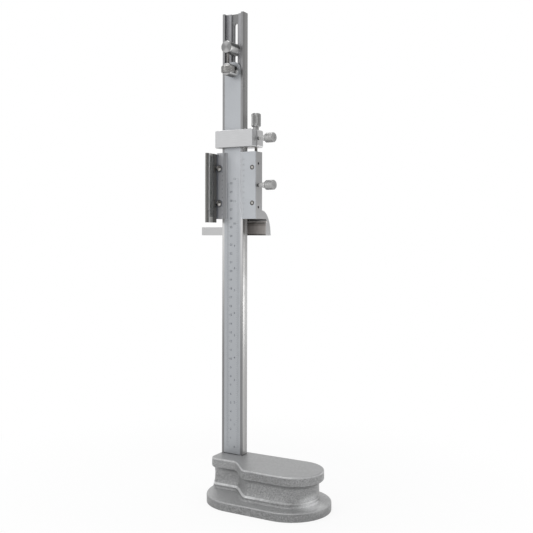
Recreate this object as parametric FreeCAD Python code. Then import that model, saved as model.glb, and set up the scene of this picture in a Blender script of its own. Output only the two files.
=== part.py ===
import FreeCAD, Part
import math
import os

# A column height gauge: a cast base, a grooved column with a movable main scale, a slider with
# two verniers, a measuring jaw and a folding magnifier, and a carriage that sets it finely.
# X runs along the base towards its round end, Y runs backwards from the scale face of the column
# and Z runs up. The origin is on the surface that the base stands on, under the middle of the
# scale face. Sizes are in millimetres.

# Clearances
SLIDE_FIT = 0.05
BORE_FIT = 0.04
APART = 0.3
PAD_GAP = 0.1
SAME_PLACE = 1e-3
PARALLEL = 0.999

# Base casting
BASE_HEIGHT = 43.0
BASE_LEFT = -15.6
BASE_AXIS_Y = -14.6
FOOT_END_X = 82.7
FOOT_HALF_WIDTH = 43.8
FOOT_HEIGHT = 8.9
FOOT_FAR_CORNER = 12.0
FOOT_EDGE = 1.5
TABLE_END_X = 87.7
TABLE_HALF_WIDTH = 31.5
TABLE_THICKNESS = 9.0
TABLE_EDGE = 1.6
NOSE_FRONT = -23.0
NOSE_CORNER = 8.0
NOSE_FAR_CORNER = 4.0
SHOULDER_START = 16.6
SHOULDER_END = 43.5
SHOULDER_PULL = 6.0
SHOULDER_LEAN = 0.45
STEP_INSET = 1.1
STEP_LEFT = 1.4
STEP_PULL = 4.9
STEP_BOTTOM = 9.8
STEP_TOP = 14.4
STEP_CHAMFER = 0.9
STEP_FILLET = 2.0
WAIST_FAR_SHARE = 0.73
NOSE_TURN = 0.6
RELIEF_RIM = 14.0
RELIEF_DEPTH = 3.0
SOCKET_FLOOR = 20.0

# Section of the cove between the table and the step below it, as (share of its height, inset,
# inset at the left end, how far the round end is drawn in besides)
COVE_SECTION = (
    (1.0, 0.0, 0.0, 0.0),
    (0.92, 0.9, 0.6, 0.4),
    (0.83, 3.0, 1.2, 1.2),
    (0.68, 4.2, STEP_LEFT, 1.8),
    (0.4, 4.4, STEP_LEFT, 1.8),
    (0.18, 3.9, STEP_LEFT, 2.3),
    (0.06, 2.9, STEP_LEFT, 3.6),
    (0.0, STEP_INSET + STEP_CHAMFER, STEP_LEFT, STEP_PULL),
)

# Column
COLUMN_WIDTH = 27.7
COLUMN_DEPTH = 10.5
COLUMN_TOP = 545.3
COLUMN_CHAMFER = 0.5
CHANNEL_WIDTH = 21.4
CHANNEL_DEPTH = 4.5
CHANNEL_UNDERCUT = 0.6
GROOVE_WIDTH = 9.4
GROOVE_DEPTH = 2.0
SLOT_WIDTH = 5.2
SLOT_LENGTH = 60.3
SLOT_MARGIN = 12.7

# Column screws, in from the back of the base
COLUMN_SCREW_X = 7.4
COLUMN_SCREW_RADIUS = 2.0
COLUMN_SCREW_HEAD_RADIUS = 3.5
COLUMN_SCREW_HEAD = 4.0

# Main scale and its adjuster
SCALE_BOTTOM = BASE_HEIGHT + 0.6
SCALE_THICKNESS = 4.4
ANCHOR_DROP = 28.6
POST_SPACING = 25.1
POST_RADIUS = 7.0
POST_REACH = 14.0
POST_CHAMFER = 0.8
ADJUSTER_Y = -10.0
SCALE_ROD_RADIUS = 1.5
SCALE_ROD_GRIP = 3.0
SCALE_WHEEL_RADIUS = 7.75
SCALE_WHEEL_HEIGHT = 7.6
SCALE_WHEEL_CHAMFER = 0.8
WHEEL_WEB = 1.8
RIVET_RADIUS = 2.5
KEY_HEIGHT = 14.0
ANCHOR_SCREW_RADIUS = 2.0
ANCHOR_SCREW_GRIP = 8.0
ANCHOR_HEAD_RADIUS = 5.5
ANCHOR_HEAD_LENGTH = 7.0

# Carriage
CARRIAGE_LEFT = -19.2
CARRIAGE_RIGHT = 31.0
CARRIAGE_FRONT_SETBACK = 0.8
CARRIAGE_FRONT = -7.0
CARRIAGE_SPLIT = 2.8
CARRIAGE_BACK = 15.6
CARRIAGE_GAP = 5.1
CARRIAGE_HEIGHT = 19.9
CARRIAGE_CORNER = 1.4
CARRIAGE_BACK_CORNER = 2.2
CARRIAGE_SCREW_RADIUS = 1.25
CARRIAGE_SCREW_HEAD_RADIUS = 2.0
CARRIAGE_SCREW_HEAD = 2.5
CARRIAGE_SCREW_GRIP = 5.0
CARRIAGE_SCREW_INSET = 2.6
CARRIAGE_SCREW_SPREAD = 5.5

# Fine screw between the carriage and the slider
FINE_X = 25.5
FINE_Y = 9.4
FINE_RADIUS = 1.75
FINE_KNOB_RADIUS = 5.35
FINE_KNOB_HEIGHT = 15.4
FINE_KNOB_CHAMFER = 1.0
FINE_NECK_RADIUS = 3.2
FINE_NECK = 3.5
FINE_COLLAR_RADIUS = 2.8
FINE_COLLAR = 1.6
FINE_TIP = 18.0
FINE_NUT_RADIUS = 2.7
FINE_NUT_LENGTH = 12.0
FINE_WELL = 24.0

# Slider
SLIDER_LEFT = -19.5
SLIDER_RIGHT = 31.2
SLIDER_BOTTOM = 310.6
SLIDER_HEIGHT = 75.6
SLIDER_BACK = 13.4
SLIDER_WALL_BACK = 14.8
SLIDER_WALL_RIGHT = 24.0
SLIDER_EDGE = 0.5
VERNIER_THICKNESS = 1.9
METRIC_EDGE = -7.1
INCH_EDGE = 10.9
VERNIER_BEVEL = 3.6
VERNIER_LIP = 0.4
PLATE_SCREW_X = 27.1
PLATE_SCREW_SPREAD = 20.0
PLATE_SCREW_RADIUS = 1.5
PLATE_SCREW_HEAD_RADIUS = 2.7
PLATE_SCREW_HEAD = 1.4
PLATE_SCREW_LENGTH = 6.0
CLAMP_Y = 5.0
GIB_THICKNESS = 2.4
GIB_BACK = 9.8
GIB_FRONT = 0.6
GIB_END_GAP = 1.0
GIB_SCREW_SPREAD = 24.6
GIB_SCREW_RADIUS = 1.5
GIB_SCREW_LENGTH = 9.0

# Jaw at the foot of the slider
JAW_DROP = 18.7
JAW_HEIGHT = 9.6
JAW_TIP = -55.0
JAW_FRONT = 19.8
JAW_BACK = 33.6
JAW_SHOULDER = 28.4
JAW_RELIEF_RADIUS = 1.9
JAW_RELIEF_DEPTH = 2.2
JAW_FILLET = 2.0
ARM_BACK_INSET = 2.0

# Thumbscrews of the carriage and the slider
THUMB_RADIUS = 2.0
THUMB_NECK_RADIUS = 3.6
THUMB_NECK = 9.7
THUMB_HEAD_RADIUS = 5.6
THUMB_HEAD = 11.2
THUMB_CHAMFER = 1.0
PRESS_PAD_RADIUS = 1.9
PRESS_PAD = 2.0

# Folding magnifier
MAGNIFIER_OVERHANG = 4.1
MAGNIFIER_DROP = 1.4
BRACKET_OUTER_X = -22.4
BRACKET_THICKNESS = 1.0
BRACKET_FLANGE = 0.9
BRACKET_LIP_RIGHT = -17.6
BRACKET_EAR_RADIUS = 4.4
BRACKET_SCREW_X = -16.4
BRACKET_SCREW_HEAD_RADIUS = 3.7
BRACKET_SCREW_HEAD = 2.6
BRACKET_SCREW_RADIUS = 1.5
BRACKET_SCREW_LENGTH = 6.0
HINGE_X = -20.3
HINGE_Y = -22.2
HINGE_RADIUS = 1.7
HINGE_PIN_RADIUS = 0.8
HINGE_KNUCKLE = 14.0
LENS_FRAME_THICKNESS = 1.6
LENS_FRAME_END_Y = -4.6
LENS_NOTCH_RADIUS = 4.5
LENS_BORDER = 2.4
LENS_NEAR_Y = -19.2
LENS_FAR_Y = -9.8
LENS_THICKNESS = 1.2
LENS_BULGE = 0.8
KNUCKLE_GAP = 0.1
KNUCKLE_ROOM = 0.5

# Places worked out from the sizes above
TABLE_BOTTOM = BASE_HEIGHT - TABLE_THICKNESS
COLUMN_HALF = COLUMN_WIDTH / 2
COLUMN_SCREW_LEVEL = BASE_HEIGHT - (TABLE_THICKNESS + TABLE_EDGE) / 2
SLOT_TOP = COLUMN_TOP - SLOT_MARGIN
SLOT_BOTTOM = SLOT_TOP - SLOT_LENGTH
ANCHOR_LEVEL = SLOT_TOP - ANCHOR_DROP
SCALE_POST_LEVEL = ANCHOR_LEVEL - POST_SPACING
SLIDER_TOP = SLIDER_BOTTOM + SLIDER_HEIGHT
SLIDER_MIDDLE = SLIDER_BOTTOM + SLIDER_HEIGHT / 2
CARRIAGE_BOTTOM = SLIDER_TOP + CARRIAGE_GAP
CARRIAGE_TOP = CARRIAGE_BOTTOM + CARRIAGE_HEIGHT
CARRIAGE_MIDDLE = CARRIAGE_BOTTOM + CARRIAGE_HEIGHT / 2
JAW_LEVEL = SLIDER_BOTTOM - JAW_DROP
MAGNIFIER_BOTTOM = SLIDER_BOTTOM - MAGNIFIER_OVERHANG
MAGNIFIER_TOP = SLIDER_TOP - MAGNIFIER_DROP
VERNIER_BACK = -APART
VERNIER_FRONT = VERNIER_BACK - VERNIER_THICKNESS
GIB_LEFT = COLUMN_HALF + SLIDE_FIT
GIB_RIGHT = GIB_LEFT + GIB_THICKNESS
LENS_FRAME_RIGHT = HINGE_X + HINGE_RADIUS
LENS_FRAME_LEFT = LENS_FRAME_RIGHT - LENS_FRAME_THICKNESS

V = FreeCAD.Vector
AXES = {"x": V(1, 0, 0), "y": V(0, 1, 0), "z": V(0, 0, 1)}
RADIAL = {"x": V(0, 1, 0), "y": V(1, 0, 0), "z": V(1, 0, 0)}


def at(axis, along, u, v):
    """The point at `along` on the line parallel to an axis through the cross position u, v."""
    if axis == "x":
        return V(along, u, v)
    if axis == "y":
        return V(u, along, v)
    return V(u, v, along)


def block(x0, x1, y0, y1, z0, z1):
    """A box between two corners."""
    return Part.makeBox(x1 - x0, y1 - y0, z1 - z0, V(x0, y0, z0))


def rod(axis, radius, start, end, u, v):
    """A round bar along an axis from start to end."""
    return Part.makeCylinder(radius, end - start, at(axis, start, u, v), AXES[axis])


def turned(axis, profile, u, v):
    """A lathe piece: (along, radius) points turned about an axis."""
    centre = at(axis, 0, u, v)
    points = [centre + AXES[axis] * along + RADIAL[axis] * radius for along, radius in profile]
    face = Part.Face(Part.makePolygon(points + points[:1]))
    return face.revolve(centre, AXES[axis], 360)


def prism(points, sweep):
    """A straight bar: a polygon swept along a vector."""
    return Part.Face(Part.makePolygon(points + points[:1])).extrude(sweep)


def knob_profile(start, end, radius, chamfer):
    """Outline of a round head with both rims chamfered, from start to end along its axis."""
    return [
        (start, 0),
        (start, radius - chamfer),
        (start + chamfer, radius),
        (end - chamfer, radius),
        (end, radius - chamfer),
        (end, 0),
    ]


def join(first, *others):
    """One solid from pieces that touch or overlap."""
    whole = first.fuse(list(others)).removeSplitter()
    return whole.Solids[0] if len(whole.Solids) == 1 else whole


def carve(shape, *tools):
    """A shape less every solid of some tools."""
    rest = shape.cut([solid for tool in tools for solid in tool.Solids])
    return rest.Solids[0] if len(rest.Solids) == 1 else rest


def arc(centre_x, centre_y, radius, start, end, level):
    """A level arc about a centre, from one angle to another in degrees."""
    angles = [math.radians(a) for a in (start, (start + end) / 2, end)]
    points = [V(centre_x + radius * math.cos(a), centre_y + radius * math.sin(a), level) for a in angles]
    return Part.Arc(*points).toShape()


def edges_on(solid, wire):
    """The edges of a solid that lie on a wire."""
    return [e for e in solid.Edges if wire.distToShape(middle_vertex(e))[0] < SAME_PLACE]


def middle_vertex(edge):
    """The point half way along an edge."""
    return Part.Vertex(edge.valueAt((edge.FirstParameter + edge.LastParameter) / 2))


def edges_along(solid, axis, chosen):
    """The straight edges of a solid that run along an axis and whose middle passes a test."""
    found = []
    for edge in solid.Edges:
        if edge.Curve.TypeId == "Part::GeomLine" and abs(edge.tangentAt(0).dot(AXES[axis])) > PARALLEL:
            if chosen(edge.CenterOfMass):
                found.append(edge)
    return found


def plan(left, nose, near, far, corner, far_corner, shoulder, end, level):
    """A closed outline of the base: far side, left end, nose, shoulder curve, near side, round end."""
    radius = (far - near) / 2
    curve = Part.BezierCurve()
    curve.setPoles([
        V(shoulder[0], nose, level),
        V(shoulder[0] + SHOULDER_PULL, nose, level),
        V(shoulder[1] - SHOULDER_PULL, near, level),
        V(shoulder[1], near, level),
    ])
    return Part.Wire([
        Part.makeLine(V(end, far, level), V(left + far_corner, far, level)),
        arc(left + far_corner, far - far_corner, far_corner, 90, 180, level),
        Part.makeLine(V(left, far - far_corner, level), V(left, nose + corner, level)),
        arc(left + corner, nose + corner, corner, 180, 270, level),
        Part.makeLine(V(left + corner, nose, level), V(shoulder[0], nose, level)),
        curve.toShape(),
        Part.makeLine(V(shoulder[1], near, level), V(end, near, level)),
        arc(end, near + radius, radius, -90, 90, level),
    ])


def table_plan(inset, left_inset, pull, level):
    """Plan of the table and the waist below it: a narrow nose and a wide part."""
    lean = inset * SHOULDER_LEAN
    return plan(
        left=BASE_LEFT + left_inset,
        nose=NOSE_FRONT + inset,
        near=BASE_AXIS_Y - TABLE_HALF_WIDTH + inset,
        far=BASE_AXIS_Y + TABLE_HALF_WIDTH - inset * WAIST_FAR_SHARE,
        corner=NOSE_CORNER,
        far_corner=NOSE_FAR_CORNER,
        shoulder=(SHOULDER_START + lean, SHOULDER_END + lean),
        end=TABLE_END_X - pull,
        level=level,
    )


def foot_plan(level):
    """Plan of the foot: the full width from end to end, with a quarter-round below the nose."""
    near = BASE_AXIS_Y - FOOT_HALF_WIDTH
    straight = BASE_LEFT + FOOT_HALF_WIDTH
    return plan(
        left=BASE_LEFT,
        nose=near,
        near=near,
        far=BASE_AXIS_Y + FOOT_HALF_WIDTH,
        corner=FOOT_HALF_WIDTH - NOSE_TURN,
        far_corner=FOOT_FAR_CORNER,
        shoulder=(straight, straight + SHOULDER_END - SHOULDER_START),
        end=FOOT_END_X,
        level=level,
    )


def slab(wire, height):
    """A plate of one height standing on a level outline."""
    return Part.Face(wire).extrude(V(0, 0, height))


def base_casting():
    """The cast base: a broad foot, a coved waist and a flat table, with a socket for the column."""
    foot_rim = foot_plan(FOOT_HEIGHT)
    step = step_plan(STEP_BOTTOM)
    crown = step_plan(STEP_TOP - STEP_CHAMFER)
    shelf = Part.makeLoft([foot_rim, step, crown, cove_plan(*COVE_SECTION[-1])], True, True)
    table = slab(table_plan(0, 0, 0, TABLE_BOTTOM), TABLE_THICKNESS)
    solid = join(slab(foot_plan(0), FOOT_HEIGHT), shelf, cove(), table)
    solid = solid.makeFillet(FOOT_EDGE, edges_on(solid, foot_rim))
    solid = solid.makeFillet(STEP_FILLET, edges_on(solid, step))
    solid = solid.makeFillet(TABLE_EDGE, edges_on(solid, table_plan(0, 0, 0, BASE_HEIGHT)))
    socket = block(-COLUMN_HALF, COLUMN_HALF, 0, COLUMN_DEPTH, SOCKET_FLOOR, BASE_HEIGHT)
    return carve(solid, socket, base_relief(), column_screw_holes())


def step_plan(level):
    """Plan of the upright step at the foot of the waist."""
    return table_plan(STEP_INSET, STEP_LEFT, STEP_PULL, level)


def cove():
    """The deep cove under the table, down to the step."""
    return Part.makeLoft([cove_plan(*section) for section in COVE_SECTION], True, False)


def cove_plan(share, inset, left_inset, pull):
    """Plan of the cove at a share of its height."""
    return table_plan(inset, left_inset, pull, STEP_TOP + share * (TABLE_BOTTOM - STEP_TOP))


def base_relief():
    """The shallow hollow under the base that leaves a rim to stand on."""
    radius = FOOT_HALF_WIDTH - RELIEF_RIM
    left = BASE_LEFT + FOOT_HALF_WIDTH
    middle = block(left, FOOT_END_X, BASE_AXIS_Y - radius, BASE_AXIS_Y + radius, 0, RELIEF_DEPTH)
    ends = [rod("z", radius, 0, RELIEF_DEPTH, x, BASE_AXIS_Y) for x in (left, FOOT_END_X)]
    return join(middle, *ends)


def column_screw_seat():
    """Where the heads of the column screws bear, behind the column."""
    return BASE_AXIS_Y + TABLE_HALF_WIDTH - COLUMN_SCREW_HEAD


def column_screws():
    """Two cap screws that hold the column in its socket, from the back of the base."""
    return Part.makeCompound([column_screw(side * COLUMN_SCREW_X, 0) for side in (-1, 1)])


def column_screw_holes():
    """Clearance for the column screws through the base."""
    return Part.makeCompound([column_screw(side * COLUMN_SCREW_X, SLIDE_FIT) for side in (-1, 1)])


def column_screw(x, play):
    """One cap screw, grown all round by some play."""
    seat = column_screw_seat()
    tip = CHANNEL_DEPTH + SLIDE_FIT
    shank = rod("y", COLUMN_SCREW_RADIUS + play, tip, seat, x, COLUMN_SCREW_LEVEL)
    head = rod("y", COLUMN_SCREW_HEAD_RADIUS + play, seat, seat + COLUMN_SCREW_HEAD, x, COLUMN_SCREW_LEVEL)
    return join(shank, head)


def beam():
    """The column: a bar with an undercut channel, a deeper groove and a slot through its top end."""
    bar = block(-COLUMN_HALF, COLUMN_HALF, 0, COLUMN_DEPTH, SOCKET_FLOOR, COLUMN_TOP)
    bar = bar.makeChamfer(COLUMN_CHAMFER, edges_along(bar, "z", lambda middle: True))
    channel = channel_bar(0, CHANNEL_DEPTH, SOCKET_FLOOR, COLUMN_TOP)
    groove_back = CHANNEL_DEPTH + GROOVE_DEPTH
    groove = block(-GROOVE_WIDTH / 2, GROOVE_WIDTH / 2, 0, groove_back, SOCKET_FLOOR, COLUMN_TOP)
    slot = block(-SLOT_WIDTH / 2, SLOT_WIDTH / 2, 0, COLUMN_DEPTH, SLOT_BOTTOM, SLOT_TOP)
    ends = [rod("y", SLOT_WIDTH / 2, 0, COLUMN_DEPTH, 0, level) for level in (SLOT_BOTTOM, SLOT_TOP)]
    holes = [
        rod("y", COLUMN_SCREW_RADIUS, 0, COLUMN_DEPTH, side * COLUMN_SCREW_X, COLUMN_SCREW_LEVEL)
        for side in (-1, 1)
    ]
    return carve(bar, channel, groove, slot, *ends, *holes)


def channel_bar(play, depth, bottom, top):
    """A bar that fills the column's undercut channel, narrower by some play on each side."""
    half = CHANNEL_WIDTH / 2 - play
    back = half + CHANNEL_UNDERCUT * depth / CHANNEL_DEPTH
    points = [V(-half, 0, bottom), V(-back, depth, bottom), V(back, depth, bottom), V(half, 0, bottom)]
    return prism(points, V(0, 0, top - bottom))


def main_scale():
    """The scale plate: flush with the column's face, with a round top end."""
    half = CHANNEL_WIDTH / 2
    reach = half + CHANNEL_UNDERCUT
    plate = channel_bar(SLIDE_FIT, SCALE_THICKNESS, SCALE_BOTTOM, SCALE_POST_LEVEL + reach)
    body = block(-reach, reach, 0, SCALE_THICKNESS, SCALE_BOTTOM, SCALE_POST_LEVEL)
    end = rod("y", half, 0, SCALE_THICKNESS, 0, SCALE_POST_LEVEL)
    rivet_hole = rod("y", RIVET_RADIUS, 0, SCALE_THICKNESS, 0, SCALE_POST_LEVEL)
    return carve(plate.common(join(body, end)), rivet_hole)


def post_profile(start):
    """Outline of a round post from a seat to its chamfered front face, along Y."""
    return [
        (start, 0),
        (start, POST_RADIUS),
        (-POST_REACH + POST_CHAMFER, POST_RADIUS),
        (-POST_REACH, POST_RADIUS - POST_CHAMFER),
        (-POST_REACH, 0),
    ]


def scale_post():
    """The slotted post that holds the scale wheel, riveted into the scale plate."""
    post = turned("y", post_profile(0), 0, SCALE_POST_LEVEL)
    rivet = rod("y", RIVET_RADIUS, 0, SCALE_THICKNESS, 0, SCALE_POST_LEVEL)
    half = SCALE_WHEEL_HEIGHT / 2 + SLIDE_FIT
    slot = block(
        -POST_RADIUS, POST_RADIUS, -POST_REACH, -WHEEL_WEB, SCALE_POST_LEVEL - half, SCALE_POST_LEVEL + half
    )
    bore = rod(
        "z",
        SCALE_ROD_RADIUS + BORE_FIT,
        SCALE_POST_LEVEL - POST_RADIUS,
        SCALE_POST_LEVEL + POST_RADIUS,
        0,
        ADJUSTER_Y,
    )
    return carve(join(post, rivet), slot, bore)


def scale_wheel():
    """The threaded wheel that moves the main scale along its rod."""
    bottom = SCALE_POST_LEVEL - SCALE_WHEEL_HEIGHT / 2
    top = bottom + SCALE_WHEEL_HEIGHT
    wheel = turned("z", knob_profile(bottom, top, SCALE_WHEEL_RADIUS, SCALE_WHEEL_CHAMFER), 0, ADJUSTER_Y)
    return carve(wheel, rod("z", SCALE_ROD_RADIUS + BORE_FIT, bottom, top, 0, ADJUSTER_Y))


def scale_rod():
    """The threaded rod that hangs from the anchor post through the scale wheel."""
    bottom = SCALE_POST_LEVEL - POST_RADIUS
    return rod("z", SCALE_ROD_RADIUS, bottom, ANCHOR_LEVEL + SCALE_ROD_GRIP, 0, ADJUSTER_Y)


def anchor_post():
    """The post that anchors the scale rod, with a key that slides in the column's groove."""
    seat = CHANNEL_DEPTH - SLIDE_FIT
    post = turned("y", post_profile(seat), 0, ANCHOR_LEVEL)
    half_key = GROOVE_WIDTH / 2 - SLIDE_FIT
    back = CHANNEL_DEPTH + GROOVE_DEPTH - SLIDE_FIT
    key = block(
        -half_key, half_key, 0, back, ANCHOR_LEVEL - KEY_HEIGHT / 2, ANCHOR_LEVEL + KEY_HEIGHT / 2
    )
    key = key.common(rod("y", POST_RADIUS, 0, back, 0, ANCHOR_LEVEL))
    rod_hole = rod(
        "z", SCALE_ROD_RADIUS, ANCHOR_LEVEL - POST_RADIUS, ANCHOR_LEVEL + SCALE_ROD_GRIP, 0, ADJUSTER_Y
    )
    screw_hole = rod("y", ANCHOR_SCREW_RADIUS + BORE_FIT, back - ANCHOR_SCREW_GRIP, back, 0, ANCHOR_LEVEL)
    return carve(join(post, key), rod_hole, screw_hole)


def anchor_clamp_screw():
    """The thumbscrew behind the column that holds the anchor post where it is set."""
    back = CHANNEL_DEPTH + GROOVE_DEPTH - SLIDE_FIT
    seat = COLUMN_DEPTH + SLIDE_FIT
    head = turned(
        "y", knob_profile(seat, seat + ANCHOR_HEAD_LENGTH, ANCHOR_HEAD_RADIUS, THUMB_CHAMFER), 0, ANCHOR_LEVEL
    )
    shank = rod("y", ANCHOR_SCREW_RADIUS, back - ANCHOR_SCREW_GRIP + PAD_GAP, seat, 0, ANCHOR_LEVEL)
    return join(shank, head)


def carriage_bore():
    """The space for the column through the carriage."""
    half = COLUMN_HALF + SLIDE_FIT
    return block(-half, half, -SLIDE_FIT, COLUMN_DEPTH + SLIDE_FIT, CARRIAGE_BOTTOM, CARRIAGE_TOP)


def carriage_screw_places():
    """Where the four carriage screws go, as (x, level)."""
    left = (CARRIAGE_LEFT - COLUMN_HALF - SLIDE_FIT) / 2
    right = COLUMN_HALF + SLIDE_FIT + CARRIAGE_SCREW_INSET
    levels = (CARRIAGE_MIDDLE - CARRIAGE_SCREW_SPREAD, CARRIAGE_MIDDLE + CARRIAGE_SCREW_SPREAD)
    return [(x, level) for x in (left, right) for level in levels]


def carriage_screw(place, radius, head_radius):
    """A cap screw that goes in from the back of the carriage."""
    x, level = place
    seat = CARRIAGE_BACK - CARRIAGE_SCREW_HEAD
    shank = rod("y", radius, CARRIAGE_SPLIT - CARRIAGE_SCREW_GRIP, seat, x, level)
    head = rod("y", head_radius, seat, CARRIAGE_BACK, x, level)
    return join(shank, head)


def carriage_screws():
    """The four cap screws that join the two halves of the carriage."""
    return Part.makeCompound([
        carriage_screw(place, CARRIAGE_SCREW_RADIUS, CARRIAGE_SCREW_HEAD_RADIUS)
        for place in carriage_screw_places()
    ])


def carriage_holes():
    """The holes of the carriage screws, with play around the heads."""
    return [
        carriage_screw(place, CARRIAGE_SCREW_RADIUS, CARRIAGE_SCREW_HEAD_RADIUS + SLIDE_FIT)
        for place in carriage_screw_places()
    ]


def fine_screw_space(bottom, top):
    """The bore for the plain part of the fine screw."""
    return rod("z", FINE_RADIUS + BORE_FIT, bottom, top, FINE_X, FINE_Y)


def carriage_front():
    """The front half of the carriage, a bar across the scale face."""
    right = CARRIAGE_RIGHT - CARRIAGE_FRONT_SETBACK
    bar = block(CARRIAGE_LEFT, right, CARRIAGE_FRONT, CARRIAGE_SPLIT, CARRIAGE_BOTTOM, CARRIAGE_TOP)
    bar = bar.makeFillet(CARRIAGE_CORNER, edges_along(bar, "y", lambda middle: True))
    front = [e for e in bar.Edges if abs(e.CenterOfMass.y - CARRIAGE_FRONT) < SAME_PLACE]
    bar = bar.makeChamfer(SLIDER_EDGE, front)
    return carve(bar, carriage_bore(), *carriage_holes())


def carriage_rear():
    """The rear half of the carriage, which holds the clamp screw and the fine screw."""
    yoke = block(CARRIAGE_LEFT, CARRIAGE_RIGHT, CARRIAGE_SPLIT, CARRIAGE_BACK, CARRIAGE_BOTTOM, CARRIAGE_TOP)
    yoke = yoke.makeFillet(CARRIAGE_BACK_CORNER, edges_along(yoke, "y", lambda middle: True))
    clamp = rod("x", THUMB_RADIUS + BORE_FIT, COLUMN_HALF, CARRIAGE_RIGHT, CLAMP_Y, CARRIAGE_MIDDLE)
    pad = rod("x", PRESS_PAD_RADIUS + BORE_FIT, COLUMN_HALF, GIB_LEFT + PRESS_PAD, CLAMP_Y, CARRIAGE_MIDDLE)
    collar = rod(
        "z",
        FINE_COLLAR_RADIUS + BORE_FIT,
        CARRIAGE_BOTTOM,
        CARRIAGE_BOTTOM + FINE_COLLAR + SLIDE_FIT,
        FINE_X,
        FINE_Y,
    )
    screw = fine_screw_space(CARRIAGE_BOTTOM, CARRIAGE_TOP)
    return carve(yoke, carriage_bore(), clamp, pad, collar, screw, *carriage_holes())


def press_pad(level):
    """A brass pad between a thumbscrew and the column or the gib."""
    return rod("x", PRESS_PAD_RADIUS, GIB_LEFT, GIB_LEFT + PRESS_PAD, CLAMP_Y, level)


def thumbscrew(face, tip, level):
    """A clamp thumbscrew along X: shank, tapered neck and a round head, proud of a face."""
    head = face + THUMB_NECK
    end = head + THUMB_HEAD
    profile = [
        (tip, 0),
        (tip, THUMB_RADIUS),
        (face + APART, THUMB_RADIUS),
        (head, THUMB_NECK_RADIUS),
        (head, THUMB_HEAD_RADIUS - THUMB_CHAMFER),
        (head + THUMB_CHAMFER, THUMB_HEAD_RADIUS),
        (end - THUMB_CHAMFER, THUMB_HEAD_RADIUS),
        (end, THUMB_HEAD_RADIUS - THUMB_CHAMFER),
        (end, 0),
    ]
    return turned("x", profile, CLAMP_Y, level)


def carriage_clamp_screw():
    """The thumbscrew that locks the carriage to the column."""
    return thumbscrew(CARRIAGE_RIGHT, GIB_LEFT + PRESS_PAD + PAD_GAP, CARRIAGE_MIDDLE)


def slider_clamp_screw():
    """The thumbscrew that locks the slider, through its gib."""
    return thumbscrew(SLIDER_RIGHT, GIB_RIGHT + PAD_GAP, SLIDER_MIDDLE)


def fine_screw():
    """The fine screw: a knob, a neck, a plain bearing in the carriage, a collar and the thread."""
    knob_bottom = CARRIAGE_TOP + FINE_NECK
    knob_top = knob_bottom + FINE_KNOB_HEIGHT
    outline = knob_profile(knob_bottom, knob_top, FINE_KNOB_RADIUS, FINE_KNOB_CHAMFER)
    knob = turned("z", outline, FINE_X, FINE_Y)
    neck = rod("z", FINE_NECK_RADIUS, CARRIAGE_TOP + SLIDE_FIT, knob_bottom, FINE_X, FINE_Y)
    collar = rod("z", FINE_COLLAR_RADIUS, CARRIAGE_BOTTOM, CARRIAGE_BOTTOM + FINE_COLLAR, FINE_X, FINE_Y)
    shank = rod("z", FINE_RADIUS, SLIDER_TOP - FINE_TIP, knob_bottom, FINE_X, FINE_Y)
    return join(knob, neck, collar, shank)


def fine_nut():
    """The threaded bush in the slider that the fine screw turns in."""
    bush = rod("z", FINE_NUT_RADIUS, SLIDER_TOP - FINE_NUT_LENGTH, SLIDER_TOP, FINE_X, FINE_Y)
    return carve(bush, fine_screw_space(SLIDER_TOP - FINE_NUT_LENGTH, SLIDER_TOP))


def column_space():
    """The space for the column through the slider, which also holds the gib."""
    half = COLUMN_HALF + SLIDE_FIT
    back = COLUMN_DEPTH + SLIDE_FIT
    column = block(-half, half, VERNIER_BACK, back, SLIDER_BOTTOM, SLIDER_TOP)
    gib = block(
        half, GIB_RIGHT, GIB_FRONT - SLIDE_FIT, GIB_BACK + SLIDE_FIT, SLIDER_BOTTOM, SLIDER_TOP
    )
    return join(column, gib)


def jaw():
    """The measuring jaw: a block behind the column, rounded at the back, with an arm to the left."""
    inner = COLUMN_DEPTH + SLIDE_FIT
    shoulder = JAW_LEVEL + JAW_SHOULDER
    top = V(SLIDER_LEFT, SLIDER_BACK, shoulder)
    foot = V(SLIDER_LEFT, JAW_BACK, JAW_LEVEL)
    curve = Part.Ellipse(top, foot, V(SLIDER_LEFT, SLIDER_BACK, JAW_LEVEL))
    straight = Part.makePolygon([
        foot,
        V(SLIDER_LEFT, JAW_FRONT, JAW_LEVEL),
        V(SLIDER_LEFT, JAW_FRONT, SLIDER_BOTTOM),
        V(SLIDER_LEFT, inner, SLIDER_BOTTOM),
        V(SLIDER_LEFT, inner, shoulder),
        top,
    ])
    outline = Part.Wire([Part.ArcOfEllipse(curve, 0, math.pi / 2).toShape()] + straight.Edges)
    body = Part.Face(outline).extrude(V(SLIDER_RIGHT - SLIDER_LEFT, 0, 0))
    arm_top = JAW_LEVEL + JAW_HEIGHT
    arm = block(JAW_TIP, SLIDER_LEFT, JAW_FRONT, JAW_BACK - ARM_BACK_INSET, JAW_LEVEL, arm_top)
    corner = V(SLIDER_LEFT, 0, arm_top)
    whole = join(body, arm)
    return whole.makeFillet(JAW_FILLET, edges_along(whole, "y", lambda middle: near_line(middle, corner)))


def near_line(middle, corner):
    """Whether a point lies on the line along Y through a corner."""
    return abs(middle.x - corner.x) < SAME_PLACE and abs(middle.z - corner.z) < SAME_PLACE


def jaw_relief():
    """The groove that frees the inner corner between the slider and its jaw."""
    level = SLIDER_BOTTOM - JAW_RELIEF_RADIUS
    end = JAW_FRONT + JAW_RELIEF_DEPTH
    cut = block(SLIDER_LEFT, SLIDER_RIGHT, JAW_FRONT, end, level - JAW_RELIEF_RADIUS, SLIDER_BOTTOM)
    return join(cut, rod("x", JAW_RELIEF_RADIUS, SLIDER_LEFT, SLIDER_RIGHT, end, level))


def spread_levels(spread):
    """The two levels at equal distances below and above the middle of the slider."""
    return (SLIDER_MIDDLE - spread, SLIDER_MIDDLE + spread)


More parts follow.
